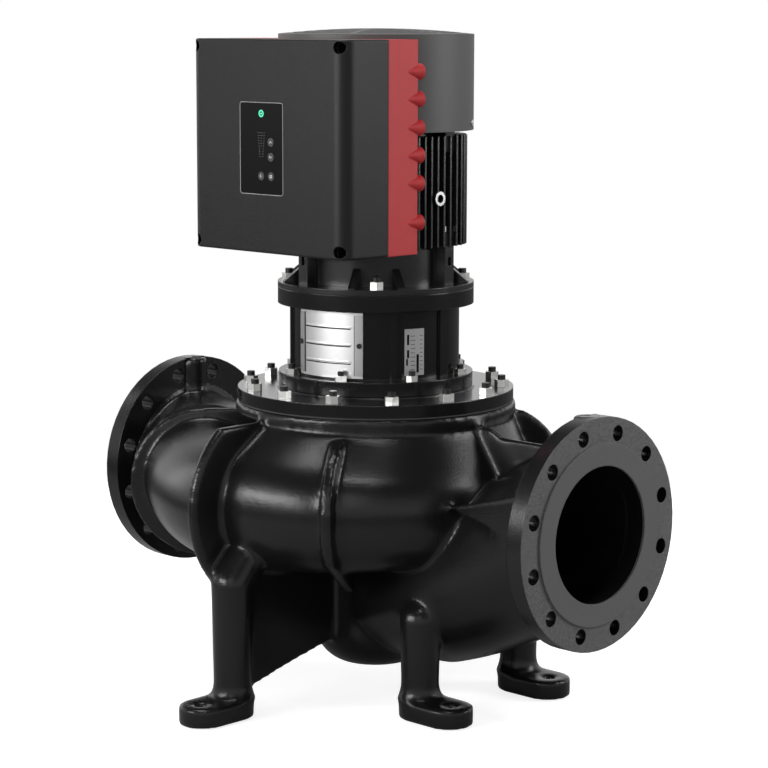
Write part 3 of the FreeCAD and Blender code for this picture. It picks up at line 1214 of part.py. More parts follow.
def upper_end_shield():
    """Upper bearing housing, with four lugs that carry the fan cover."""
    flange = cylinder(FRAME_R, FRAME_TOP_Z, FRAME_TOP_Z + UPPER_FLANGE_THICK)
    pocket_top = FAN_BEARING_Z + BEARING_WIDTH + WAVE_SPRING_THICK
    hub = cylinder(FAN_HOUSING_R, FRAME_TOP_Z, pocket_top + 4.0)
    pieces = [flange, hub]
    inner = FAN_COVER_R - FAN_COVER_WALL
    for i in range(4):
        arm = block(FRAME_R - 8.0, inner, -8.0, 8.0, FAN_COVER_BOTTOM_Z + 2.0, FAN_COVER_BOTTOM_Z + 20.0)
        arm = arm.common(cylinder(inner, FAN_COVER_BOTTOM_Z, FAN_COVER_BOTTOM_Z + 22.0))
        pieces.append(turned(arm, FAN_SCREW_DEG + 90.0 * i))
    for degrees in SHIELD_LUG_DEGREES:
        pieces.append(tie_lug(degrees, FRAME_R - 4.0, FRAME_TOP_Z, FRAME_TOP_Z + UPPER_FLANGE_THICK))
    body = union(pieces)
    cuts = [cylinder(BEARING_OUTER_R, FRAME_TOP_Z - 1.0, pocket_top)]
    cuts.append(cylinder(SHAFT_HOLE_R, FRAME_TOP_Z, pocket_top + 5.0))
    for degrees in SHIELD_LUG_DEGREES:
        place = at_angle(SHIELD_LUG_CIRCLE_R, degrees)
        cuts.append(cylinder(TIE_SCREW_R + HOLE_CLEARANCE, FRAME_TOP_Z - 1.0,
                             FRAME_TOP_Z + UPPER_FLANGE_THICK + 1.0, place.x, place.y))
    for i in range(4):
        hole = rod(FAN_SCREW_R, V(inner - 14.0, 0, FAN_SCREW_Z), V(inner + 2.0, 0, FAN_SCREW_Z))
        cuts.append(turned(hole, FAN_SCREW_DEG + 90.0 * i))
    return body.cut(cuts)


def fan_cover():
    """Sheet cowl with a domed top, slotted in rings between spokes."""
    wall = FAN_COVER_WALL
    outer_r = FAN_COVER_R
    sag = FAN_COVER_DOME
    shell = ring(outer_r, outer_r - wall, FAN_COVER_BOTTOM_Z, FAN_COVER_TOP_Z)
    dome_r = (outer_r ** 2 + sag ** 2) / (2 * sag)
    centre_z = FAN_COVER_TOP_Z + sag - dome_r
    outer_ball = Part.makeSphere(dome_r, V(0, 0, centre_z))
    inner_ball = Part.makeSphere(dome_r - wall, V(0, 0, centre_z))
    cap = cylinder(outer_r, FAN_COVER_TOP_Z - wall * 2, FAN_COVER_TOP_Z + sag + 1.0)
    dome = cap.common(outer_ball).cut(inner_ball)
    body = shell.fuse(dome)
    slots = []
    spoke = 360.0 / GRILLE_SPOKES
    for i in range(GRILLE_RINGS):
        outer = outer_r - 14.0 - i * (GRILLE_SLOT + GRILLE_BAR)
        half = spoke / 2 - math.degrees(GRILLE_BAR / 2 / (outer - GRILLE_SLOT / 2))
        band = ring(outer, outer - GRILLE_SLOT, FAN_COVER_TOP_Z - 4.0, FAN_COVER_TOP_Z + sag + 2.0)
        piece = band.common(wedge(half, (outer - GRILLE_SLOT) * 0.9, outer + 2.0, FAN_COVER_TOP_Z - 5.0,
                                  FAN_COVER_TOP_Z + sag + 3.0))
        slots += around(piece, GRILLE_SPOKES, spoke / 2)
    for i in range(4):
        hole = rod(FAN_SCREW_R, V(outer_r - 4.0, 0, FAN_SCREW_Z), V(outer_r + 2.0, 0, FAN_SCREW_Z))
        slots.append(turned(hole, FAN_SCREW_DEG + 90.0 * i))
    return body.cut(slots)


def fan_cover_screws():
    """Four screws into the upper shield's arms."""
    screws = []
    for i in range(4):
        shank = rod(FAN_SCREW_R, V(FAN_COVER_R - 14.0, 0, FAN_SCREW_Z), V(FAN_COVER_R, 0, FAN_SCREW_Z))
        head = rod(FAN_SCREW_R * 2.0, V(FAN_COVER_R, 0, FAN_SCREW_Z), V(FAN_COVER_R + 2.0, 0, FAN_SCREW_Z))
        screws.append(turned(union([shank, head]), FAN_SCREW_DEG + 90.0 * i))
    return screws


def cooling_fan():
    """Radial fan on the upper end of the motor shaft."""
    low = FAN_LOW_Z
    hub = ring(FAN_HUB_R, MOTOR_SHAFT_R - 3.0, low, low + FAN_HEIGHT * 0.7)
    disc = ring(FAN_R, FAN_HUB_R - 2.0, low + 2.0, low + 5.0)
    blade = block(FAN_HUB_R - 2.0, FAN_R, -1.5, 1.5, low + 4.0, low + FAN_HEIGHT)
    return union([hub, disc] + around(blade, FAN_BLADES))


def motor_shaft():
    """Motor shaft from the coupling to the fan."""
    pieces = [
        cylinder(MOTOR_SHAFT_R, MOTOR_SHAFT_END_Z, DRIVE_BEARING_Z - 1.0),
        cylinder(BEARING_SEAT_R, DRIVE_BEARING_Z - 2.0, DRIVE_BEARING_Z + BEARING_WIDTH + 1.0),
        cylinder(ROTOR_SEAT_R, DRIVE_BEARING_Z + BEARING_WIDTH, FAN_BEARING_Z),
        cylinder(BEARING_SEAT_R, FAN_BEARING_Z - 1.0, FAN_BEARING_Z + BEARING_WIDTH + 1.0),
        cylinder(MOTOR_SHAFT_R - 3.0, FAN_BEARING_Z + BEARING_WIDTH, FAN_LOW_Z + FAN_HEIGHT * 0.7 + 3.0),
    ]
    return union(pieces)


def rotor_core():
    """Rotor stack on the motor shaft."""
    return ring(ROTOR_R, ROTOR_SEAT_R, CORE_MID_Z - CORE_LENGTH / 2, CORE_MID_Z + CORE_LENGTH / 2)


def outer_race(low):
    """Outer ring of a motor bearing, grooved for the balls."""
    body = ring(BEARING_OUTER_R, BALL_CIRCLE_R + RACE_LAND, low, low + BEARING_WIDTH)
    middle = low + BEARING_WIDTH / 2
    return body.cut(ring(BALL_CIRCLE_R + BALL_R, BALL_CIRCLE_R, middle - RACE_GROOVE, middle + RACE_GROOVE))


def inner_race(low):
    """Inner ring of a motor bearing, grooved for the balls."""
    body = ring(BALL_CIRCLE_R - RACE_LAND, BEARING_SEAT_R, low, low + BEARING_WIDTH)
    middle = low + BEARING_WIDTH / 2
    return body.cut(ring(BALL_CIRCLE_R, BALL_CIRCLE_R - BALL_R, middle - RACE_GROOVE, middle + RACE_GROOVE))


def wave_spring():
    """Washer that presses on the upper bearing."""
    low = FAN_BEARING_Z + BEARING_WIDTH
    return ring(BEARING_OUTER_R - 1.0, BEARING_OUTER_R - 7.0, low, low + WAVE_SPRING_THICK)


def motor_clearance(radius):
    """Space that the box leaves round the motor."""
    return cylinder(radius, BOX_BOTTOM_Z - 1.0, BOX_TOP_Z + 1.0)


def control_box_base():
    """Tray of the drive box, hollowed at its back to sit round the motor."""
    inner_r = FAN_COVER_R + BOX_MOTOR_GAP
    body = block(-BOX_HALF_WIDTH, BOX_HALF_WIDTH, BOX_SPLIT_Y, BOX_REAR_Y, BOX_BOTTOM_Z, BOX_TOP_Z)
    pocket = block(-BOX_HALF_WIDTH + BOX_WALL, BOX_HALF_WIDTH - BOX_WALL, BOX_SPLIT_Y - 1.0,
                   BOX_REAR_Y - BOX_WALL, BOX_BOTTOM_Z + BOX_WALL, BOX_TOP_Z - BOX_WALL)
    pocket = pocket.cut(motor_clearance(inner_r + BOX_WALL))
    body = body.cut([motor_clearance(inner_r), pocket])
    arch = ring(inner_r + BOX_WALL, inner_r, BOX_BOTTOM_Z, BOX_TOP_Z)
    arch = arch.common(block(-BOX_HALF_WIDTH, BOX_HALF_WIDTH, -inner_r - BOX_WALL - 1.0, BOX_SPLIT_Y + 3.0,
                             BOX_BOTTOM_Z, BOX_TOP_Z))
    seat = block(-PAD_HALF_WIDTH, PAD_HALF_WIDTH, -inner_r - BOX_WALL, PAD_Y, PAD_LOW_Z, PAD_HIGH_Z)
    pieces = [body, arch, seat]
    for height in SCALLOP_HEIGHTS:
        for side in (-1, 1):
            start = V(side * (BOX_HALF_WIDTH - 3.0), BOX_REAR_Y + 7.0 - SCALLOP_LENGTH, BOX_BOTTOM_Z + height)
            pieces.append(Part.makeCone(0.4, SCALLOP_R, SCALLOP_LENGTH, start, Y_AXIS))
    body = pieces[0].fuse(pieces[1:])
    room = block(-BOX_HALF_WIDTH + BOX_WALL, BOX_HALF_WIDTH - BOX_WALL, BOX_SPLIT_Y - 20.0, BOX_REAR_Y + 20.0,
                 BOX_BOTTOM_Z + BOX_WALL, BOX_TOP_Z - BOX_WALL)
    room = room.cut([motor_clearance(inner_r + BOX_WALL), block(-BOX_HALF_WIDTH, BOX_HALF_WIDTH,
                     BOX_REAR_Y - BOX_WALL, BOX_REAR_Y + 21.0, BOX_BOTTOM_Z, BOX_TOP_Z)])
    screws = [rod(PAD_SCREW_R + 0.5, V(x, -inner_r - BOX_WALL - 1.0, z), V(x, PAD_Y + 1.0, z))
              for x, z in pad_screw_places()]
    screws += [rod(PAD_SCREW_R * 1.8 + 1.0, V(x, -inner_r - BOX_WALL - 1.0, z), V(x, PAD_SEAT_Y, z))
               for x, z in pad_screw_places()]
    entries = [rod(ENTRY_R, V(x, ENTRY_Y, BOX_BOTTOM_Z - 1.0), V(x, ENTRY_Y, BOX_BOTTOM_Z + BOX_WALL + 1.0))
               for x in ENTRY_X]
    body = body.cut([room] + screws + entries)
    envelope = block(-BOX_HALF_WIDTH, BOX_HALF_WIDTH, BOX_SPLIT_Y, BOX_REAR_Y, BOX_BOTTOM_Z, BOX_TOP_Z)
    post_r = BOX_SCREW_POCKET_R + BOX_WALL
    posts = [rod(post_r, V(x, BOX_SPLIT_Y, z), V(x, BOX_REAR_Y - 1.0, z)).common(envelope)
             for x, z in box_screw_places()]
    posts += [rod(BOARD_POST_R, V(x, BOARD_Y, z), V(x, BOX_REAR_Y - 1.0, z)) for x, z in board_post_places()]
    holes = [rod(BOX_SCREW_R, V(x, BOX_SPLIT_Y - 1.0, z), V(x, BOX_SPLIT_Y + BOX_SCREW_GRIP + 1.0, z))
             for x, z in box_screw_places()]
    holes += [rod(BOARD_SCREW_R, V(x, BOARD_Y - 1.0, z), V(x, BOARD_Y + 9.0, z))
              for x, z in board_post_places()]
    return body.fuse(posts).cut(holes)


def pad_screws():
    """Screws from inside the box into the motor's pad."""
    screws = []
    for x, z in pad_screw_places():
        shank = rod(PAD_SCREW_R, V(x, PAD_SEAT_Y, z), V(x, PAD_Y + 16.0, z))
        head = rod(PAD_SCREW_R * 1.8, V(x, PAD_SEAT_Y - 5.0, z), V(x, PAD_SEAT_Y, z))
        screws.append(union([shank, head]))
    return screws


def box_screw_places():
    """Four cover screws in the box's rounded corners."""
    x = BOX_HALF_WIDTH - BOX_SCREW_INSET_X
    return [(sx * x, z) for sx in (-1, 1)
            for z in (BOX_BOTTOM_Z + BOX_SCREW_INSET_Z, BOX_TOP_Z - BOX_SCREW_INSET_Z)]


def upright_edges(shape, height, limit_y):
    """Vertical edges of one height in front of a plane."""
    return [e for e in shape.Edges if abs(e.BoundBox.ZLength - height) < 0.01 and e.BoundBox.YMax < limit_y]


def control_box_cover():
    """Deep cover of the drive box with rounded upright edges and screw pockets."""
    outer = block(-BOX_HALF_WIDTH, BOX_HALF_WIDTH, BOX_FRONT_Y, BOX_SPLIT_Y, BOX_BOTTOM_Z, BOX_TOP_Z)
    outer = outer.makeFillet(BOX_CORNER_R, upright_edges(outer, BOX_HEIGHT, BOX_FRONT_Y + 1.0))
    rim = [e for e in outer.Edges if e.BoundBox.ZLength < 0.01 and e.BoundBox.YMax < BOX_SPLIT_Y - 1.0]
    outer = outer.makeFillet(BOX_EDGE_R, rim)
    inner = block(-BOX_HALF_WIDTH + BOX_WALL, BOX_HALF_WIDTH - BOX_WALL, BOX_FRONT_Y + BOX_WALL,
                  BOX_SPLIT_Y + 1.0, BOX_BOTTOM_Z + BOX_WALL, BOX_TOP_Z - BOX_WALL)
    inner_edges = upright_edges(inner, BOX_HEIGHT - 2 * BOX_WALL, BOX_FRONT_Y + BOX_WALL + 1.0)
    inner = inner.makeFillet(BOX_CORNER_R - BOX_WALL, inner_edges)
    shell = outer.cut(inner)
    posts = [rod(BOX_SCREW_POCKET_R + BOX_WALL, V(x, BOX_FRONT_Y + BOX_WALL + 4.0, z), V(x, BOX_SPLIT_Y, z))
             for x, z in box_screw_places()]
    shell = shell.fuse([p.common(outer) for p in posts])
    screen = block(PANEL_LEFT_X, PANEL_LEFT_X + PANEL_WIDTH, BOX_FRONT_Y - 1.0, BOX_FRONT_Y + PANEL_RECESS,
                   PANEL_BOTTOM_Z, PANEL_BOTTOM_Z + PANEL_HEIGHT)
    cuts = [screen, motor_clearance(FAN_COVER_R + BOX_MOTOR_GAP + BOX_WALL + 0.3)]
    cuts += [rod(BUTTON_R + BUTTON_GAP, V(x, BOX_FRONT_Y - 1.0, z), V(x, BOX_FRONT_Y + BOX_WALL + 1.0, z))
             for x, z in BUTTON_PLACES.values()]
    for x, z in box_screw_places():
        seat_y = BOX_FRONT_Y + BOX_SCREW_DEPTH
        cuts.append(rod(BOX_SCREW_POCKET_R, V(x, BOX_FRONT_Y - 1.0, z), V(x, seat_y, z)))
        cuts.append(rod(BOX_SCREW_R + 0.4, V(x, BOX_FRONT_Y, z), V(x, BOX_SPLIT_Y + 1.0, z)))
    return shell.cut(cuts)


def cover_screws():
    """Socket screws at the bottom of the cover's deep pockets."""
    screws = []
    for x, z in box_screw_places():
        seat = BOX_FRONT_Y + BOX_SCREW_DEPTH
        shank = rod(BOX_SCREW_R, V(x, seat, z), V(x, BOX_SPLIT_Y + BOX_SCREW_GRIP, z))
        head = rod(BOX_SCREW_R * 1.7, V(x, seat - 5.0, z), V(x, seat, z))
        screws.append(union([shank, head]))
    return screws


def operating_panel():
    """Flat operating panel set into the cover, with holes for its push buttons."""
    sheet = block(PANEL_LEFT_X, PANEL_LEFT_X + PANEL_WIDTH, BOX_FRONT_Y, BOX_FRONT_Y + PANEL_RECESS,
                  PANEL_BOTTOM_Z, PANEL_BOTTOM_Z + PANEL_HEIGHT)
    upright = [e for e in sheet.Edges if e.BoundBox.YLength > PANEL_RECESS * 0.9]
    sheet = sheet.makeFillet(2.0, upright)
    holes = [rod(BUTTON_R + BUTTON_GAP, V(x, BOX_FRONT_Y - 1.0, z), V(x, BOX_FRONT_Y + PANEL_RECESS + 1.0, z))
             for x, z in BUTTON_PLACES.values()]
    x, z = STATUS_PLACE
    holes.append(rod(STATUS_R, V(x, BOX_FRONT_Y - 1.0, z), V(x, BOX_FRONT_Y + PANEL_RECESS + 1.0, z)))
    return sheet.cut(holes)


def status_light():
    """Round status light in the panel."""
    x, z = STATUS_PLACE
    return rod(STATUS_R, V(x, BOX_FRONT_Y, z), V(x, BOX_FRONT_Y + PANEL_RECESS, z))


def push_button(place):
    """Push button with the collar that keeps it behind the cover's wall."""
    x, z = place
    front = BOX_FRONT_Y - BUTTON_PROUD
    collar_y = BOX_FRONT_Y + BOX_WALL + BUTTON_GAP
    stem = rod(BUTTON_R, V(x, front, z), V(x, collar_y + 1.0, z))
    collar = rod(BUTTON_R + 2.0, V(x, collar_y, z), V(x, collar_y + 1.4, z))
    return union([stem, collar])


def circuit_board():
    """Power board on the base's four posts, with its capacitors and heat spreader."""
    x = BOX_HALF_WIDTH - BOX_WALL - BOARD_MARGIN_X
    low = BOX_BOTTOM_Z + BOARD_MARGIN_Z
    high = BOX_TOP_Z - BOARD_MARGIN_Z
    face_y = BOARD_Y - BOARD_THICK
    pieces = [block(-x, x, face_y, BOARD_Y, low, high)]
    can_z = low + CAPACITOR_RISE
    for i in range(CAPACITORS):
        can_x = CAPACITOR_FIRST_X + CAPACITOR_PITCH * i
        pieces.append(rod(CAPACITOR_R, V(can_x, face_y - CAPACITOR_LENGTH, can_z), V(can_x, face_y, can_z)))
    pieces.append(block(20.0, 110.0, face_y - HEAT_SPREADER_DEPTH, face_y, low + 20.0, low + 70.0))
    return union(pieces).cut([rod(BOARD_SCREW_R, V(px, BOARD_Y - 10.0, pz), V(px, BOARD_Y + 1.0, pz))
                              for px, pz in board_post_places()])


def board_post_places():
    """Posts that carry the circuit board."""
    x = BOX_HALF_WIDTH - BOX_WALL - 17.0
    return [(sx * x, z) for sx in (-1, 1) for z in (BOX_BOTTOM_Z + 50.0, BOX_TOP_Z - 50.0)]


def board_screws():
    """Screws that hold the circuit board on its posts."""
    screws = []
    for x, z in board_post_places():
        seat = BOARD_Y - BOARD_THICK
        shank = rod(BOARD_SCREW_R, V(x, seat, z), V(x, BOARD_Y + 8.0, z))
        screws.append(union([shank, rod(BOARD_SCREW_R * 2, V(x, seat - 2.5, z), V(x, seat, z))]))
    return screws


def blanking_plugs():
    """Flush plugs in the two unused cable entries under the box."""
    plugs = []
    for x in ENTRY_X:
        stem = cylinder(ENTRY_R, BOX_BOTTOM_Z, BOX_BOTTOM_Z + BOX_WALL, x, ENTRY_Y)
        inner = cylinder(ENTRY_R - 2.0, BOX_BOTTOM_Z + BOX_WALL, BOX_BOTTOM_Z + BOX_WALL + 6.0, x, ENTRY_Y)
        slot = block(x - 5.0, x + 5.0, ENTRY_Y - 1.0, ENTRY_Y + 1.0, BOX_BOTTOM_Z - 1.0, BOX_BOTTOM_Z + 2.0)
        plugs.append(union([stem, inner]).cut(slot))
    return plugs


def at_both_bearings(make):
    """The same bearing piece at both ends of the motor."""
    return [make(DRIVE_BEARING_Z), make(FAN_BEARING_Z)]


PARTS = {
    "pump_housing": pump_housing,
    "neck_ring": neck_ring,
    "pump_cover": pump_cover,
    "cover_gasket": cover_gasket,
    "cover_studs": cover_studs,
    "cover_nuts": cover_nuts,
    "vent_body": vent_body,
    "vent_screw": vent_screw,
    "tapping_plugs": tapping_plugs,
    "seal_seat": seal_seat,
    "seal_ring": seal_ring,
    "seal_bellows": seal_bellows,
    "seal_collar": seal_collar,
    "impeller": impeller,
    "impeller_key": impeller_key,
    "impeller_nut": impeller_nut,
    "pump_shaft": pump_shaft,
    "coupling_halves": coupling_halves,
    "coupling_screws": coupling_screws,
    "motor_stool": motor_stool,
    "stool_studs": stool_studs,
    "stool_nuts": stool_nuts,
    "guard_screws": guard_screws,
    "lower_end_shield": lower_end_shield,
    "motor_studs": motor_studs,
    "motor_nuts": motor_nuts,
    "motor_frame": motor_frame,
    "shield_screws": shield_screws,
    "stator_core": stator_core,
    "stator_winding": stator_winding,
    "motor_shaft": motor_shaft,
    "rotor_core": rotor_core,
    "upper_end_shield": upper_end_shield,
    "wave_spring": wave_spring,
    "cooling_fan": cooling_fan,
    "fan_cover": fan_cover,
    "fan_cover_screws": fan_cover_screws,
    "control_box_base": control_box_base,
    "control_box_cover": control_box_cover,
    "pad_screws": pad_screws,
    "cover_screws": cover_screws,
    "circuit_board": circuit_board,
    "board_screws": board_screws,
    "blanking_plugs": blanking_plugs,
    "operating_panel": operating_panel,
    "status_light": status_light,
    "coupling_guard_front": lambda: coupling_guard(0),
    "coupling_guard_back": lambda: coupling_guard(1),
    "bearing_outer_rings": lambda: at_both_bearings(outer_race),
    "bearing_inner_rings": lambda: at_both_bearings(inner_race),
}
for button_name, button_place in BUTTON_PLACES.items():
    PARTS[button_name] = lambda place=button_place: push_button(place)

# Pieces are built about the shaft and moved here to the inlet flange's face
SHIFT = V(-HALF_LENGTH, 0, 0)


def main():
    os.makedirs("parts", exist_ok=True)
    for name, make in PARTS.items():
        shape = make()
        solids = shape if isinstance(shape, list) else [shape]
        moved = Part.makeCompound(solids) if len(solids) > 1 else solids[0].copy()
        moved.translate(SHIFT)
        moved.exportStep("parts/" + name + ".step")


main()
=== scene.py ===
"""Looks of the in-line circulation pump: camera, light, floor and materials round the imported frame."""

import json
import math

import bmesh
import bpy
import numpy as np
from mathutils import Matrix, Vector


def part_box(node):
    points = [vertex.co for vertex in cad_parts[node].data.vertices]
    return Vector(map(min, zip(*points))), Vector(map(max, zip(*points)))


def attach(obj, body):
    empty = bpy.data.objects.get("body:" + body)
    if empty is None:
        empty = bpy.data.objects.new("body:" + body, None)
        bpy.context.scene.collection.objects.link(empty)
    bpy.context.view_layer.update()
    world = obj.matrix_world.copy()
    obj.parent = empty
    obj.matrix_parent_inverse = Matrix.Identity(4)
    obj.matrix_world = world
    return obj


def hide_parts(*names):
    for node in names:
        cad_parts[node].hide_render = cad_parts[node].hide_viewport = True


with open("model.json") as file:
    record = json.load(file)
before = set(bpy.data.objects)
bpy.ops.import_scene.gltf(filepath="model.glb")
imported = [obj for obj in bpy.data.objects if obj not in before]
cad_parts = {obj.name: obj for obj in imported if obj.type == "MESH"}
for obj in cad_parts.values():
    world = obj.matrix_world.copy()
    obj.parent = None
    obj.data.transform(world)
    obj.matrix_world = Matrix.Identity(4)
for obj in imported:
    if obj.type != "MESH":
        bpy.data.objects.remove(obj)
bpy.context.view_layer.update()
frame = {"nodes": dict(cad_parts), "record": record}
nodes = frame["nodes"]

SHAFT_X = -0.45
HALF_LENGTH = 0.45
FLOOR_Z = -0.295
STOOL_R = 0.128
WHITE = (1.0, 1.0, 1.0, 1.0)
PUMP_BLACK = (0.006, 0.006, 0.0065)

# Camera at the photograph's view, fitted to the flanges and the drive box
CAMERA_AT = Vector((2.12506, -2.62304, 0.72863))
CAMERA_AZIMUTH = math.radians(44.27)
CAMERA_ELEVATION = math.radians(8.65)
CAMERA_ROLL = math.radians(0.13)
CAMERA_LENS = 113.06
CAMERA_SENSOR = 36.0
CAMERA_REACH = 20.0

# Lamps: name, place, size and power; all of them look at one point
LAMP_TARGET = (SHAFT_X, 0.0, 0.1)
LAMPS = (
    ("front_strip", (-1.02, -2.64, 0.86), (1.9, 0.6), 54.0),
    ("left_softbox", (-3.0, -0.55, 0.95), (0.5, 1.5), 6.0),
    ("right_softbox", (1.5, 1.5, 1.2), (0.8, 1.6), 34.0),
    ("front_fill", (1.6, -2.9, 1.9), (1.4, 1.4), 9.0),
    ("top_strip", (0.45, -0.93, 2.35), (0.7, 0.12), 9.0),
    ("overhead", (SHAFT_X - 0.4, -0.2, 2.5), (1.0, 1.0), 34.0),
)

# World: its even fill, and what reflections see from straight down (0) to straight up (1)
WORLD_FILL = 0.3
SKY_STOPS = ((0.47, (0.12, 0.12, 0.12, 1.0)), (0.5, WHITE), (0.64, WHITE), (0.82, (0.1, 0.1, 0.1, 1.0)))

# Floor: a disc just under the feet, whose glow for the camera rises to white between two distances
FLOOR_R = 1.7
FLOOR_SIDES = 96
FLOOR_DROP = 0.0006
FLOOR_COLOUR = (0.45, 0.45, 0.45, 1.0)
FLOOR_GLOW = 0.8
FLOOR_GLOW_FROM = 0.45
FLOOR_GLOW_TO = 1.1

# Casting: voxel for its even skin, steps of relaxing, and how it meets the flange discs
CAST_VOXEL = 0.004
FILLET_STEPS = 4
FAIR_STEPS = 24
FAIR_LIMIT = 0.0004
RELAX_SHARE = 0.5
PAD_TOP_Z = -0.262
PAD_BLEND = 0.01
PAD_FREEDOM = 0.35
DISC_BACK_X = 0.42
DISC_R = 0.17
NECK_R = 0.119
BORE_R = 0.1
TUCK_START = 0.0035
TUCK_DEPTH = 0.004
RIM_WIDTH = 0.015
RIM_SHRINK = 0.985
MOUTH_WIDTH = 0.004
MOUTH_GROWTH = 1.03
BACK_MARGIN = 0.0001
SLIVER_NORMAL = 0.9
FLAT_NORMAL = 0.999
SHARP_DEGREES = 30
WELD_DISTANCE = 1e-6
SMALLEST_SHIFT = 1e-9

# Turned flange faces
FACE_DEPTH = 0.0035
FACE_TINT = ((0.35, (0.02, 0.02, 0.021, 1.0)), (0.7, (0.19, 0.19, 0.193, 1.0)))
FACE_ROUGHNESS = 0.55
BEVEL_SAMPLES = 6

# Operating panel: status light, frame line, level marks and the buttons' signs
LIGHT_R = 0.006
LIGHT_GLOW = 0.8
LIGHT_RINGS = ((0.0, (0.1, 0.85, 0.45, 1.0)), (0.22, (0.0, 0.02, 0.012, 1.0)),
               (0.55, (0.06, 0.6, 0.33, 1.0)), (0.86, (0.0, 0.02, 0.012, 1.0)))
PANEL_LINE_R = 0.0006
PANEL_CORNER_R = 0.004
PANEL_CORNER_STEPS = 5
LEVEL_X = SHAFT_X - 0.0076
LEVEL_TOP_Z = 0.562
LEVEL_PITCH = 0.0038
LEVEL_ROWS = 10
LEVEL_HALF_WIDTH = 0.0068
LEVEL_NARROWING = 0.6
LEVEL_SPACING = 0.0035
LEVEL_MARK_HALF = 0.0005
LEVEL_LINE_R = 0.0004
SIGN_REACH = 0.0024
SIGN_TAIL = 0.6
SIGN_RING = 0.8
SIGN_RING_SIDES = 16
SIGN_LINE_R = 0.00055

# Data plate on the stool; fields are shares of its width and height
PLATE_DEGREES = (-26.0, -11.5)
PLATE_HEIGHTS = (0.2, 0.27)
PLATE_THICK = 0.0008
PLATE_SEAT = 0.0005
PLATE_SKIN = 0.0002
PLATE_FIELDS = ((0.12, 0.22, 0.66, 0.88), (0.12, 0.22, 0.38, 0.55), (0.08, 0.16, 0.22, 0.36),
                (0.6, 0.72, 0.06, 0.45))
PLATE_ROWS = 9
PLATE_ROW_START = 0.12
PLATE_ROW_PITCH = 0.09
PLATE_LINE_START = 0.3
PLATE_LINE_ENDS = (0.5, 0.54)
PLATE_MARK_SPAN = (0.78, 0.92)
PLATE_LINE_HEIGHT = 0.0009
PLATE_LINE_THICK = 0.00015

# Trim of the coupling guards with dark strips painted as the shadow under their beads, and the bare face of
# the lifting eye
GUARD_R = 0.1297
GUARD_DEGREES = {"front": -80.0, "back": 100.0}
GUARD_HALF_DEGREES = 26.0
GUARD_STRIP_DEGREES = 5.5
GUARD_EDGE = 0.004
GUARD_SINK = 0.0003
STRIP_THICK = 0.0012
SEAM_DEGREES = 0.5
SEAM_THICK = 0.0002
BEAD_SHARE = 0.265
# Painted shadow under the guards' beads: dark strips, with their insets, drop below each bead, height and
# thickness
BEAD_SHADOW_INSETS = (1.5, 3.0)
BEAD_SHADOW_DROP = 0.0022
BEAD_SHADOW_HEIGHT = 0.0016
BEAD_SHADOW_THICK = 0.0004
EYE_FACE_RADII = (0.0062, 0.0105)
EYE_FACE_SIDES = 48
EYE_FACE_THICK = 0.0004


def add_object(name, data):
    """New object of some data, linked into the scene."""
    made = bpy.data.objects.new(name, data)
    bpy.context.scene.collection.objects.link(made)
    return made


def node_with(tree, kind, **values):
    """New shader node with some of its inputs set."""
    node = tree.nodes.new(kind)
    for name, value in values.items():
        node.inputs[name.replace("_", " ")].default_value = value
    return node


def maths(tree, operation, *sources):
    """Result of a new maths node, whose inputs are linked to sockets or set to numbers."""
    node = tree.nodes.new("ShaderNodeMath")
    node.operation = operation
    for socket, source in zip(node.inputs, sources):
        if isinstance(source, bpy.types.NodeSocket):
            tree.links.new(source, socket)
        else:
            socket.default_value = source
    return node.outputs["Value"]


def colour_ramp(tree, stops):
    """New colour ramp node with positions and colours in rising order."""
    node = tree.nodes.new("ShaderNodeValToRGB")
    elements = node.color_ramp.elements
    for element, (position, colour) in ((elements[1], stops[-1]), (elements[0], stops[0])):
        element.position = position
        element.color = colour
    for position, colour in stops[1:-1]:
        elements.new(position).color = colour
    return node


def add_camera():
    """Camera with its own place and turn, without depth of field."""
    data = bpy.data.cameras.new("photo_view")
    data.lens = CAMERA_LENS
    data.sensor_width = CAMERA_SENSOR
    data.clip_end = CAMERA_REACH
    data.dof.use_dof = False
    camera = add_object("photo_view", data)
    flat = math.cos(CAMERA_ELEVATION)
    back = Vector((flat * math.sin(CAMERA_AZIMUTH), -flat * math.cos(CAMERA_AZIMUTH),
                   math.sin(CAMERA_ELEVATION)))
    right = Vector((math.cos(CAMERA_AZIMUTH), math.sin(CAMERA_AZIMUTH), 0.0))
    up = back.cross(right)
    turned_right = right * math.cos(CAMERA_ROLL) + up * math.sin(CAMERA_ROLL)
    turned_up = up * math.cos(CAMERA_ROLL) - right * math.sin(CAMERA_ROLL)
    turn = Matrix((turned_right, turned_up, back)).transposed().to_4x4()
    camera.matrix_world = Matrix.Translation(CAMERA_AT) @ turn
    bpy.context.scene.camera = camera


def add_lights():
    """Studio light: a strip and a fill in front, a softbox on each side and two lamps overhead."""
    for name, place, size, power in LAMPS:
        data = bpy.data.lights.new(name, "AREA")
        data.shape = "RECTANGLE"
        data.size, data.size_y = size
        data.energy = power
        lamp = add_object(name, data)
        lamp.location = Vector(place)
        lamp.rotation_euler = (Vector(LAMP_TARGET) - Vector(place)).to_track_quat("-Z", "Y").to_euler()


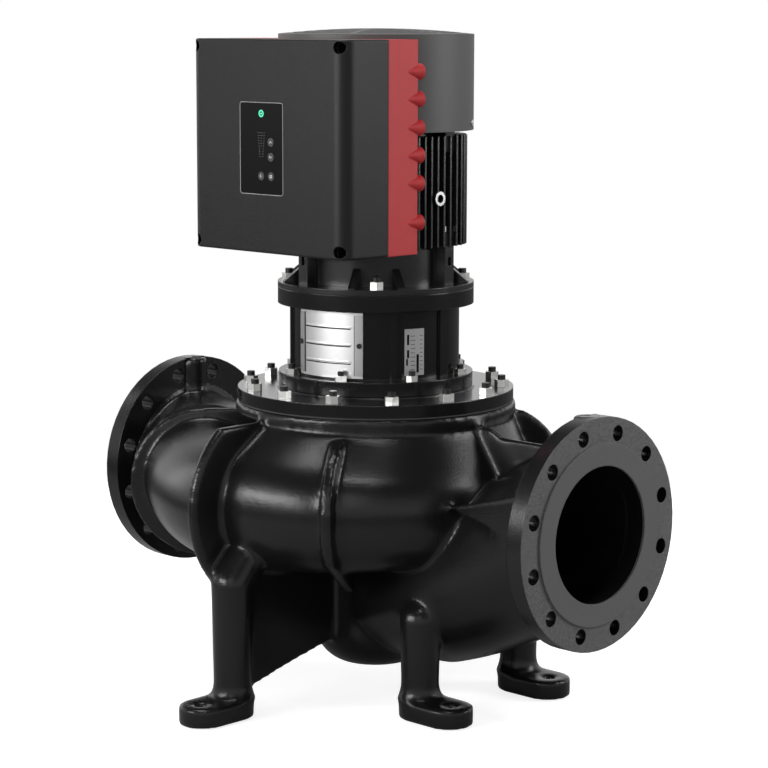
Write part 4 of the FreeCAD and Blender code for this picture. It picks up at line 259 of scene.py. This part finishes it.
def add_world():
    """White background, with a bright horizon and a dim sky in reflections and a low even fill."""
    world = bpy.data.worlds.new("studio")
    world.use_nodes = True
    tree = world.node_tree
    tree.nodes.clear()
    output = tree.nodes.new("ShaderNodeOutputWorld")
    path = tree.nodes.new("ShaderNodeLightPath")
    place = tree.nodes.new("ShaderNodeTexCoord")
    height = tree.nodes.new("ShaderNodeSeparateXYZ")
    shift = node_with(tree, "ShaderNodeMapRange", From_Min=-1.0)
    sky = colour_ramp(tree, SKY_STOPS)
    mirrored = tree.nodes.new("ShaderNodeBackground")
    fill = node_with(tree, "ShaderNodeBackground", Color=WHITE, Strength=WORLD_FILL)
    seen = node_with(tree, "ShaderNodeBackground", Color=WHITE)
    by_gloss = tree.nodes.new("ShaderNodeMixShader")
    by_camera = tree.nodes.new("ShaderNodeMixShader")
    clear = maths(tree, "MAXIMUM", path.outputs["Is Glossy Ray"], path.outputs["Is Transmission Ray"])
    tree.links.new(place.outputs["Generated"], height.inputs[0])
    tree.links.new(height.outputs["Z"], shift.inputs["Value"])
    tree.links.new(shift.outputs["Result"], sky.inputs["Fac"])
    tree.links.new(sky.outputs["Color"], mirrored.inputs["Color"])
    tree.links.new(clear, by_gloss.inputs["Fac"])
    tree.links.new(fill.outputs["Background"], by_gloss.inputs[1])
    tree.links.new(mirrored.outputs["Background"], by_gloss.inputs[2])
    tree.links.new(path.outputs["Is Camera Ray"], by_camera.inputs["Fac"])
    tree.links.new(by_gloss.outputs["Shader"], by_camera.inputs[1])
    tree.links.new(seen.outputs["Background"], by_camera.inputs[2])
    tree.links.new(by_camera.outputs["Shader"], output.inputs["Surface"])
    bpy.context.scene.world = world


def add_floor():
    """Pale round floor under the feet, which fades to white away from them."""
    bpy.ops.mesh.primitive_circle_add(vertices=FLOOR_SIDES, radius=FLOOR_R, fill_type="NGON",
                                      location=(SHAFT_X, 0.0, FLOOR_Z - FLOOR_DROP))
    floor = bpy.context.object
    floor.name = "floor"
    paint = bpy.data.materials.new("floor_white")
    paint.use_nodes = True
    tree = paint.node_tree
    shader = tree.nodes["Principled BSDF"]
    shader.inputs["Base Color"].default_value = FLOOR_COLOUR
    shader.inputs["Roughness"].default_value = 0.9
    shader.inputs["Specular IOR Level"].default_value = 0.0
    shader.inputs["Emission Color"].default_value = WHITE
    path = tree.nodes.new("ShaderNodeLightPath")
    place = tree.nodes.new("ShaderNodeTexCoord")
    distance = tree.nodes.new("ShaderNodeVectorMath")
    distance.operation = "LENGTH"
    glow = node_with(tree, "ShaderNodeMapRange", From_Min=FLOOR_GLOW_FROM, From_Max=FLOOR_GLOW_TO,
                     To_Min=FLOOR_GLOW, To_Max=1.0)
    tree.links.new(place.outputs["Object"], distance.inputs[0])
    tree.links.new(distance.outputs["Value"], glow.inputs["Value"])
    seen = maths(tree, "MULTIPLY", glow.outputs["Result"], path.outputs["Is Camera Ray"])
    tree.links.new(seen, shader.inputs["Emission Strength"])
    floor.data.materials.append(paint)


def surface(name, colour, roughness, metallic=0.0, grain=0.0, grain_size=400.0, edge=0.0, spec=0.5,
            mottle=0.0):
    """Procedural paint or metal: colour, gloss, a fine grain in the surface and softened edges."""
    material = bpy.data.materials.new(name)
    material.use_nodes = True
    tree = material.node_tree
    shader = tree.nodes["Principled BSDF"]
    shader.inputs["Base Color"].default_value = (*colour, 1.0)
    shader.inputs["Roughness"].default_value = roughness
    shader.inputs["Metallic"].default_value = metallic
    shader.inputs["Specular IOR Level"].default_value = spec
    if mottle:
        place = tree.nodes.new("ShaderNodeTexCoord")
        patches = node_with(tree, "ShaderNodeTexNoise", Scale=9.0, Detail=4.0, Roughness=0.6)
        spread = node_with(tree, "ShaderNodeMapRange", To_Min=roughness - mottle, To_Max=roughness + mottle)
        tree.links.new(place.outputs["Object"], patches.inputs["Vector"])
        tree.links.new(patches.outputs["Fac"], spread.inputs["Value"])
        tree.links.new(spread.outputs["Result"], shader.inputs["Roughness"])
    normal = None
    if edge:
        bevel = node_with(tree, "ShaderNodeBevel", Radius=edge)
        bevel.samples = BEVEL_SAMPLES
        normal = bevel.outputs["Normal"]
    if grain:
        place = tree.nodes.new("ShaderNodeTexCoord")
        noise = node_with(tree, "ShaderNodeTexNoise", Scale=grain_size, Detail=2.0, Roughness=0.5)
        bump = node_with(tree, "ShaderNodeBump", Strength=1.0, Distance=grain)
        tree.links.new(place.outputs["Object"], noise.inputs["Vector"])
        tree.links.new(noise.outputs["Fac"], bump.inputs["Height"])
        if normal:
            tree.links.new(normal, bump.inputs["Normal"])
        normal = bump.outputs["Normal"]
    if normal:
        tree.links.new(normal, shader.inputs["Normal"])
    return material


FINISHES = {
    "cast_black": dict(colour=PUMP_BLACK, roughness=0.2, grain=0.00015, grain_size=420.0, edge=0.0025,
                       spec=0.3, mottle=0.03),
    "cover_black": dict(colour=PUMP_BLACK, roughness=0.16, edge=0.002),
    "housing_black": dict(colour=PUMP_BLACK, roughness=0.23, grain=0.0003, grain_size=420.0, edge=0.002,
                          spec=0.28, mottle=0.05),
    "zinc": dict(colour=(0.78, 0.78, 0.76), roughness=0.35, metallic=1.0, edge=0.0006),
    "dark_steel": dict(colour=(0.02, 0.02, 0.02), roughness=0.4, metallic=0.5),
    "bright_steel": dict(colour=(0.72, 0.72, 0.73), roughness=0.25, metallic=1.0),
    "stainless_sheet": dict(colour=(0.78, 0.78, 0.78), roughness=0.36, metallic=1.0, edge=0.0012),
    "gasket": dict(colour=(0.03, 0.03, 0.03), roughness=0.8),
    "bronze": dict(colour=(0.55, 0.36, 0.15), roughness=0.35, metallic=1.0),
    "cast_grey": dict(colour=(0.25, 0.25, 0.26), roughness=0.5, metallic=0.7, grain=0.0003),
    "carbon": dict(colour=(0.03, 0.03, 0.03), roughness=0.3),
    "motor_black": dict(colour=(0.008, 0.008, 0.0085), roughness=0.24, grain=0.0002, edge=0.0012,
                        mottle=0.04),
    "laminations": dict(colour=(0.3, 0.3, 0.31), roughness=0.4, metallic=0.9),
    "copper": dict(colour=(0.5, 0.22, 0.1), roughness=0.4, metallic=0.9),
    "fan_plastic": dict(colour=(0.02, 0.02, 0.02), roughness=0.5),
    "cowl_grey": dict(colour=(0.062, 0.062, 0.062), roughness=0.5, grain=0.0001, edge=0.001, spec=0.4),
    "box_charcoal": dict(colour=(0.0068, 0.0068, 0.007), roughness=0.4, grain=0.0003, grain_size=900.0,
                         edge=0.002, spec=0.22),
    "box_red": dict(colour=(0.42, 0.018, 0.022), roughness=0.5, grain=0.0004, grain_size=900.0, edge=0.002,
                    spec=0.4),
    "panel_black": dict(colour=(0.004, 0.004, 0.0045), roughness=0.22, spec=0.16),
    "button_grey": dict(colour=(0.03, 0.03, 0.03), roughness=0.4),
    "light_green": dict(colour=(0.1, 0.75, 0.25), roughness=0.3),
    "board_green": dict(colour=(0.02, 0.2, 0.08), roughness=0.5),
    "print_grey": dict(colour=(0.3, 0.3, 0.3), roughness=0.6),
    "sign_white": dict(colour=(0.7, 0.7, 0.7), roughness=0.5),
    "strip_grey": dict(colour=(0.45, 0.45, 0.45), roughness=0.4, metallic=1.0),
    "plate_grey": dict(colour=(0.36, 0.36, 0.36), roughness=0.4, metallic=0.3),
}
MATERIALS = {finish_name: surface(finish_name, **look) for finish_name, look in FINISHES.items()}

# CAD nodes whose look differs from that of their slot
NODE_FINISH = {"pump_cover": "cover_black", "guard_screws": "dark_steel", "pump_housing": "housing_black"}


def turn_flange_faces(material):
    """Grey speckled finish on the two turned flange faces, beyond the planes where their bolts seat."""
    tree = material.node_tree
    shader = tree.nodes["Principled BSDF"]
    place = tree.nodes.new("ShaderNodeTexCoord")
    along_pipe = tree.nodes.new("ShaderNodeSeparateXYZ")
    tree.links.new(place.outputs["Object"], along_pipe.inputs[0])
    from_middle = maths(tree, "SUBTRACT", along_pipe.outputs["X"], SHAFT_X)
    distance = maths(tree, "ABSOLUTE", from_middle)
    faced = maths(tree, "GREATER_THAN", distance, HALF_LENGTH - FACE_DEPTH)
    speckle = node_with(tree, "ShaderNodeTexNoise", Scale=900.0, Detail=2.0, Roughness=0.7)
    tint = colour_ramp(tree, FACE_TINT)
    tree.links.new(place.outputs["Object"], speckle.inputs["Vector"])
    tree.links.new(speckle.outputs["Fac"], tint.inputs["Fac"])
    colour = tree.nodes.new("ShaderNodeMix")
    colour.data_type = "RGBA"
    colour.inputs[6].default_value = shader.inputs["Base Color"].default_value
    tree.links.new(faced, colour.inputs[0])
    tree.links.new(tint.outputs["Color"], colour.inputs[7])
    tree.links.new(colour.outputs[2], shader.inputs["Base Color"])
    gloss = tree.nodes.new("ShaderNodeMix")
    gloss.inputs[3].default_value = FACE_ROUGHNESS
    painted = shader.inputs["Roughness"].links[0].from_socket
    tree.links.new(faced, gloss.inputs[0])
    tree.links.new(painted, gloss.inputs[2])
    tree.links.new(gloss.outputs[0], shader.inputs["Roughness"])


def ring_light(material, centre):
    """Green arcs and a dot on a dark lens, as rings about the middle of the light."""
    tree = material.node_tree
    shader = tree.nodes["Principled BSDF"]
    place = tree.nodes.new("ShaderNodeTexCoord")
    offset = tree.nodes.new("ShaderNodeVectorMath")
    offset.operation = "SUBTRACT"
    offset.inputs[1].default_value = centre
    distance = tree.nodes.new("ShaderNodeVectorMath")
    distance.operation = "LENGTH"
    tree.links.new(place.outputs["Object"], offset.inputs[0])
    tree.links.new(offset.outputs["Vector"], distance.inputs[0])
    scaled = maths(tree, "DIVIDE", distance.outputs["Value"], LIGHT_R)
    rings = colour_ramp(tree, LIGHT_RINGS)
    rings.color_ramp.interpolation = "CONSTANT"
    tree.links.new(scaled, rings.inputs["Fac"])
    tree.links.new(rings.outputs["Color"], shader.inputs["Base Color"])
    tree.links.new(rings.outputs["Color"], shader.inputs["Emission Color"])
    shader.inputs["Emission Strength"].default_value = LIGHT_GLOW


def printed_lines(name, strokes, radius, finish, body):
    """Thin raised lines through points; each stroke is its points and whether it closes."""
    curve = bpy.data.curves.new(name, "CURVE")
    curve.dimensions = "3D"
    curve.bevel_depth = radius
    curve.bevel_resolution = 1
    for points, closed in strokes:
        line = curve.splines.new("POLY")
        line.points.add(len(points) - 1)
        for point, place in zip(line.points, points):
            point.co = (*place, 1.0)
        line.use_cyclic_u = closed
    curve.materials.append(MATERIALS[finish])
    piece = add_object(name, curve)
    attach(piece, body)


def middle_of(node):
    """Middle of a node's box, moved to its front face."""
    low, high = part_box(node)
    return Vector(((low[0] + high[0]) / 2, low[1], (low[2] + high[2]) / 2))


def circle_points(centre, radius, count):
    """Points round a circle that faces the front."""
    turn = 2 * math.pi / count
    return [(centre.x + radius * math.cos(turn * i), centre.y, centre.z + radius * math.sin(turn * i))
            for i in range(count)]


def panel_frame():
    """Thin pale line round the operating panel, with rounded corners."""
    low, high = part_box("operating_panel")
    inset = PANEL_CORNER_R + PANEL_LINE_R
    y = low[1]
    points = []
    corners = ((high[0], high[2], 0), (low[0], high[2], 90), (low[0], low[2], 180), (high[0], low[2], 270))
    middle_x = (low[0] + high[0]) / 2
    middle_z = (low[2] + high[2]) / 2
    for x, z, start in corners:
        centre_x = x - math.copysign(inset, x - middle_x)
        centre_z = z - math.copysign(inset, z - middle_z)
        for step in range(PANEL_CORNER_STEPS + 1):
            angle = math.radians(start + 90.0 / PANEL_CORNER_STEPS * step)
            points.append((centre_x + PANEL_CORNER_R * math.cos(angle), y,
                           centre_z + PANEL_CORNER_R * math.sin(angle)))
    printed_lines("panel_frame", [(points, True)], PANEL_LINE_R, "print_grey", "pump")


def level_marks():
    """Rows of short marks beside the buttons, wide at the top and narrow at the bottom."""
    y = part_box("operating_panel")[0][1]
    strokes = []
    for row in range(LEVEL_ROWS):
        z = LEVEL_TOP_Z - LEVEL_PITCH * row
        half = LEVEL_HALF_WIDTH * (1.0 - LEVEL_NARROWING * row / (LEVEL_ROWS - 1))
        marks = max(2, round(2 * half / LEVEL_SPACING))
        for i in range(marks):
            x = LEVEL_X - half + 2 * half * i / (marks - 1)
            strokes.append(([(x - LEVEL_MARK_HALF, y, z), (x + LEVEL_MARK_HALF, y, z)], False))
    printed_lines("level_marks", strokes, LEVEL_LINE_R, "print_grey", "pump")


def button_signs():
    """Plain signs on the four buttons: two chevrons, a back arrow and a ring."""
    reach = SIGN_REACH
    signs = {
        "button_up": lambda c: [([(c.x - reach, c.y, c.z - reach / 2), (c.x, c.y, c.z + reach / 2),
                                  (c.x + reach, c.y, c.z - reach / 2)], False)],
        "button_down": lambda c: [([(c.x - reach, c.y, c.z + reach / 2), (c.x, c.y, c.z - reach / 2),
                                    (c.x + reach, c.y, c.z + reach / 2)], False)],
        "button_back": lambda c: [([(c.x, c.y, c.z - reach), (c.x - reach, c.y, c.z),
                                    (c.x, c.y, c.z + reach)], False),
                                  ([(c.x + reach * SIGN_TAIL, c.y, c.z), (c.x + reach, c.y, c.z)], False)],
        "button_enter": lambda c: [(circle_points(c, reach * SIGN_RING, SIGN_RING_SIDES), True)],
    }
    for node, strokes in signs.items():
        printed_lines(node + "_sign", strokes(middle_of(node)), SIGN_LINE_R, "sign_white", node)


def curved_slab(name, degrees, heights, radii, finish):
    """Thin plate bent round the shaft axis between two angles, heights and radii."""
    steps = max(2, int(abs(degrees[1] - degrees[0])))
    columns = steps + 1
    points = []
    for radius in radii:
        for z in heights:
            for i in range(columns):
                angle = math.radians(degrees[0] + (degrees[1] - degrees[0]) * i / steps)
                points.append((SHAFT_X + radius * math.cos(angle), radius * math.sin(angle), z))
    faces = []
    for a, b in ((2, 3), (3, 1), (1, 0), (0, 2)):
        for i in range(steps):
            faces.append((a * columns + i, a * columns + i + 1, b * columns + i + 1, b * columns + i))
    faces.append((0, columns, 3 * columns, 2 * columns))
    faces.append((steps, 2 * columns + steps, 3 * columns + steps, columns + steps))
    mesh = bpy.data.meshes.new(name)
    mesh.from_pydata(points, [], faces)
    mesh.materials.append(MATERIALS[finish])
    piece = add_object(name, mesh)
    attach(piece, "pump")


def guard_trim(name, turn):
    """Lap strips with their seams, and dark strips painted as the shadow under the beads, of the guard at one
    angle of the shaft.
    """
    low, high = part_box("coupling_guard_" + name)
    foot, head = low[2] + GUARD_EDGE, high[2] - GUARD_EDGE
    middle = (foot + head) / 2
    left, right = turn - GUARD_HALF_DEGREES, turn + GUARD_HALF_DEGREES
    strip = GUARD_STRIP_DEGREES
    inner = GUARD_R - GUARD_SINK
    sides = ((left + SEAM_DEGREES, left + strip), (right - strip, right - SEAM_DEGREES))
    for i, (start, end) in enumerate(sides):
        curved_slab("guard_%s_strip_%d" % (name, i), (start, end), (foot, head),
                    (inner, GUARD_R + STRIP_THICK), "strip_grey")
    for i, edge in enumerate((left + strip, right - strip - SEAM_DEGREES)):
        curved_slab("guard_%s_seam_%d" % (name, i), (edge, edge + SEAM_DEGREES), (foot, head),
                    (inner, GUARD_R + SEAM_THICK), "panel_black")
    # Painted shadow: a thin dark strip just under each of the three beads
    across = (left + strip + BEAD_SHADOW_INSETS[0], right - strip - BEAD_SHADOW_INSETS[1])
    for i, step in enumerate((-1, 0, 1)):
        z = middle + step * (high[2] - low[2]) * BEAD_SHARE - BEAD_SHADOW_DROP
        curved_slab("guard_%s_slot_%d" % (name, i), across, (z, z + BEAD_SHADOW_HEIGHT),
                    (inner, GUARD_R + BEAD_SHADOW_THICK), "panel_black")


def machined_ring(name, mount_name, inner, outer):
    """Bare metal face round a threaded hole, a hair proud of its boss."""
    mount = next(m for m in frame["record"]["mounts"] if m["name"] == mount_name)
    axis = Vector(mount["axis"]).normalized()
    side = axis.orthogonal().normalized()
    other = axis.cross(side)
    centre = Vector(mount["pos_m"])
    count = EYE_FACE_SIDES
    points = []
    for depth in (EYE_FACE_THICK, -EYE_FACE_THICK):
        for radius in (inner, outer):
            for i in range(count):
                angle = 2 * math.pi * i / count
                outward = side * math.cos(angle) + other * math.sin(angle)
                points.append(centre + axis * depth + outward * radius)
    faces = []
    for a, b in ((0, 1), (1, 3), (3, 2), (2, 0)):
        for i in range(count):
            j = (i + 1) % count
            faces.append((a * count + i, a * count + j, b * count + j, b * count + i))
    mesh = bpy.data.meshes.new(name)
    mesh.from_pydata(points, [], faces)
    mesh.validate()
    mesh.materials.append(MATERIALS["bright_steel"])
    piece = add_object(name, mesh)
    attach(piece, "pump")


def along(span, *shares):
    """Places at the given shares of the way along a span."""
    return tuple(span[0] + (span[1] - span[0]) * share for share in shares)


def data_plate():
    """Blank grey plate on the stool, with plain dark fields and rows of short lines."""
    base = STOOL_R + PLATE_THICK
    curved_slab("data_plate", PLATE_DEGREES, PLATE_HEIGHTS, (STOOL_R - PLATE_SEAT, base), "plate_grey")
    for i, (left, right, foot, head) in enumerate(PLATE_FIELDS):
        curved_slab("plate_field_%d" % i, along(PLATE_DEGREES, left, right), along(PLATE_HEIGHTS, foot, head),
                    (base - PLATE_SKIN, base + PLATE_SKIN), "panel_black")
    printed = (base - PLATE_SKIN, base + PLATE_LINE_THICK)
    for i in range(PLATE_ROWS):
        z, = along(PLATE_HEIGHTS, PLATE_ROW_START + PLATE_ROW_PITCH * i)
        line_span = (PLATE_LINE_START, PLATE_LINE_ENDS[i % 2])
        for kind, span in (("line", line_span), ("mark", PLATE_MARK_SPAN)):
            curved_slab("plate_%s_%d" % (kind, i), along(PLATE_DEGREES, *span), (z, z + PLATE_LINE_HEIGHT),
                        printed, "dark_steel")


def neighbour_means(points, edges, counts):
    """Mean place of each vertex's neighbours."""
    total = len(points)
    sums = np.empty_like(points)
    for axis in range(3):
        values = points[:, axis]
        sums[:, axis] = np.bincount(edges[:, 0], values[edges[:, 1]], total)
        sums[:, axis] += np.bincount(edges[:, 1], values[edges[:, 0]], total)
    return sums / counts[:, None]


def relax_casting(mesh):
    """Round the joins and edges of the casting, then fair its skin within a small limit."""
    total = len(mesh.vertices)
    points = np.empty(total * 3)
    mesh.vertices.foreach_get("co", points)
    points = points.reshape(-1, 3)
    edges = np.empty(len(mesh.edges) * 2, dtype=np.int64)
    mesh.edges.foreach_get("vertices", edges)
    edges = edges.reshape(-1, 2)
    counts = np.bincount(edges.ravel(), minlength=total).astype(float)
    freedom = np.clip((points[:, 2] - PAD_TOP_Z) / PAD_BLEND, PAD_FREEDOM, 1.0)[:, None] * RELAX_SHARE
    for _ in range(FILLET_STEPS):
        points += freedom * (neighbour_means(points, edges, counts) - points)
    start = points.copy()
    for _ in range(FAIR_STEPS):
        points += freedom * (neighbour_means(points, edges, counts) - points)
        shift = points - start
        length = np.linalg.norm(shift, axis=1)[:, None]
        points = start + shift * np.minimum(1.0, FAIR_LIMIT / np.maximum(length, SMALLEST_SHIFT))
    tuck_into_flanges(points)
    mesh.vertices.foreach_set("co", points.ravel())
    mesh.update()


def tuck_into_flanges(points):
    """Sink the casting's ends into the flange discs, so that only the discs' own faces show there."""
    offset = points[:, 0] - SHAFT_X
    ends = np.abs(offset) > DISC_BACK_X - TUCK_START
    reach = np.hypot(points[:, 1], points[:, 2])
    behind = ends & (reach > NECK_R + TUCK_START * 2)
    points[behind, 0] += np.sign(offset[behind]) * TUCK_DEPTH
    rim = ends & (reach > DISC_R - RIM_WIDTH)
    points[rim, 1:] *= RIM_SHRINK
    mouth = ends & (reach < BORE_R + MOUTH_WIDTH)
    points[mouth, 1:] *= MOUTH_GROWTH


def part_beyond(mesh, distance, outer):
    """Cut a mesh at two planes, one each side of the shaft, and keep what is outside or inside them."""
    work = bmesh.new()
    work.from_mesh(mesh)
    bmesh.ops.remove_doubles(work, verts=work.verts, dist=WELD_DISTANCE)
    for side in (-1, 1):
        everything = work.verts[:] + work.edges[:] + work.faces[:]
        bmesh.ops.bisect_plane(work, geom=everything, plane_co=(SHAFT_X + side * distance, 0, 0),
                               plane_no=(1, 0, 0))
    unwanted = [f for f in work.faces if (abs(f.calc_center_median().x - SHAFT_X) > distance) != outer]
    bmesh.ops.delete(work, geom=unwanted, context="FACES")
    work.to_mesh(mesh)
    work.free()
    mesh.update()


def crisp_faces(mesh):
    """Drop the slivers behind the discs, and keep flat and round faces apart in the shading."""
    work = bmesh.new()
    work.from_mesh(mesh)
    slivers = [f for f in work.faces if abs(f.normal.x) < SLIVER_NORMAL
               and max(abs(v.co.x - SHAFT_X) for v in f.verts) < DISC_BACK_X + BACK_MARGIN]
    bmesh.ops.delete(work, geom=slivers, context="FACES")
    sharp = math.radians(SHARP_DEGREES)
    for edge in work.edges:
        flat = [abs(f.normal.x) > FLAT_NORMAL for f in edge.link_faces]
        edge.smooth = len(flat) == 2 and flat[0] == flat[1] and edge.calc_face_angle(0.0) < sharp
    work.to_mesh(mesh)
    work.free()
    mesh.update()


def cast_housing():
    """Housing as it is cast: blended joins and soft edges, with the turned flange discs kept crisp."""
    source = nodes["pump_housing"]
    rough = add_object("casting_rough", source.data.copy())
    even = rough.modifiers.new("even", "REMESH")
    even.mode = "VOXEL"
    even.voxel_size = CAST_VOXEL
    graph = bpy.context.evaluated_depsgraph_get()
    skin = bpy.data.meshes.new_from_object(rough.evaluated_get(graph))
    bpy.data.objects.remove(rough)
    relax_casting(skin)
    part_beyond(skin, DISC_BACK_X + TUCK_DEPTH, outer=False)
    skin.shade_smooth()
    discs = source.data.copy()
    part_beyond(discs, DISC_BACK_X - BACK_MARGIN, outer=True)
    discs.shade_smooth()
    crisp_faces(discs)
    for name, mesh in (("casting", skin), ("flange_discs", discs)):
        mesh.materials.clear()
        mesh.materials.append(MATERIALS["housing_black"])
        piece = add_object(name, mesh)
        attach(piece, "pump")
        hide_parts("pump_housing")


def paint_nodes():
    """Give every CAD node the material of its slot in the record, or its own finish."""
    for entry in frame["record"]["subparts"]:
        mesh = nodes[entry["node"]].data
        mesh.materials.clear()
        finish = NODE_FINISH.get(entry["node"], entry["material_slot"])
        mesh.materials.append(MATERIALS[finish])


turn_flange_faces(MATERIALS["housing_black"])
ring_light(MATERIALS["light_green"], middle_of("status_light"))
paint_nodes()
cast_housing()
panel_frame()
level_marks()
button_signs()
data_plate()
for guard_name, guard_turn in GUARD_DEGREES.items():
    guard_trim(guard_name, guard_turn)
machined_ring("lifting_eye_face", "lifting_eye_hole", *EYE_FACE_RADII)
add_camera()
add_lights()
add_world()
add_floor()
bpy.context.scene.view_settings.view_transform = "Standard"
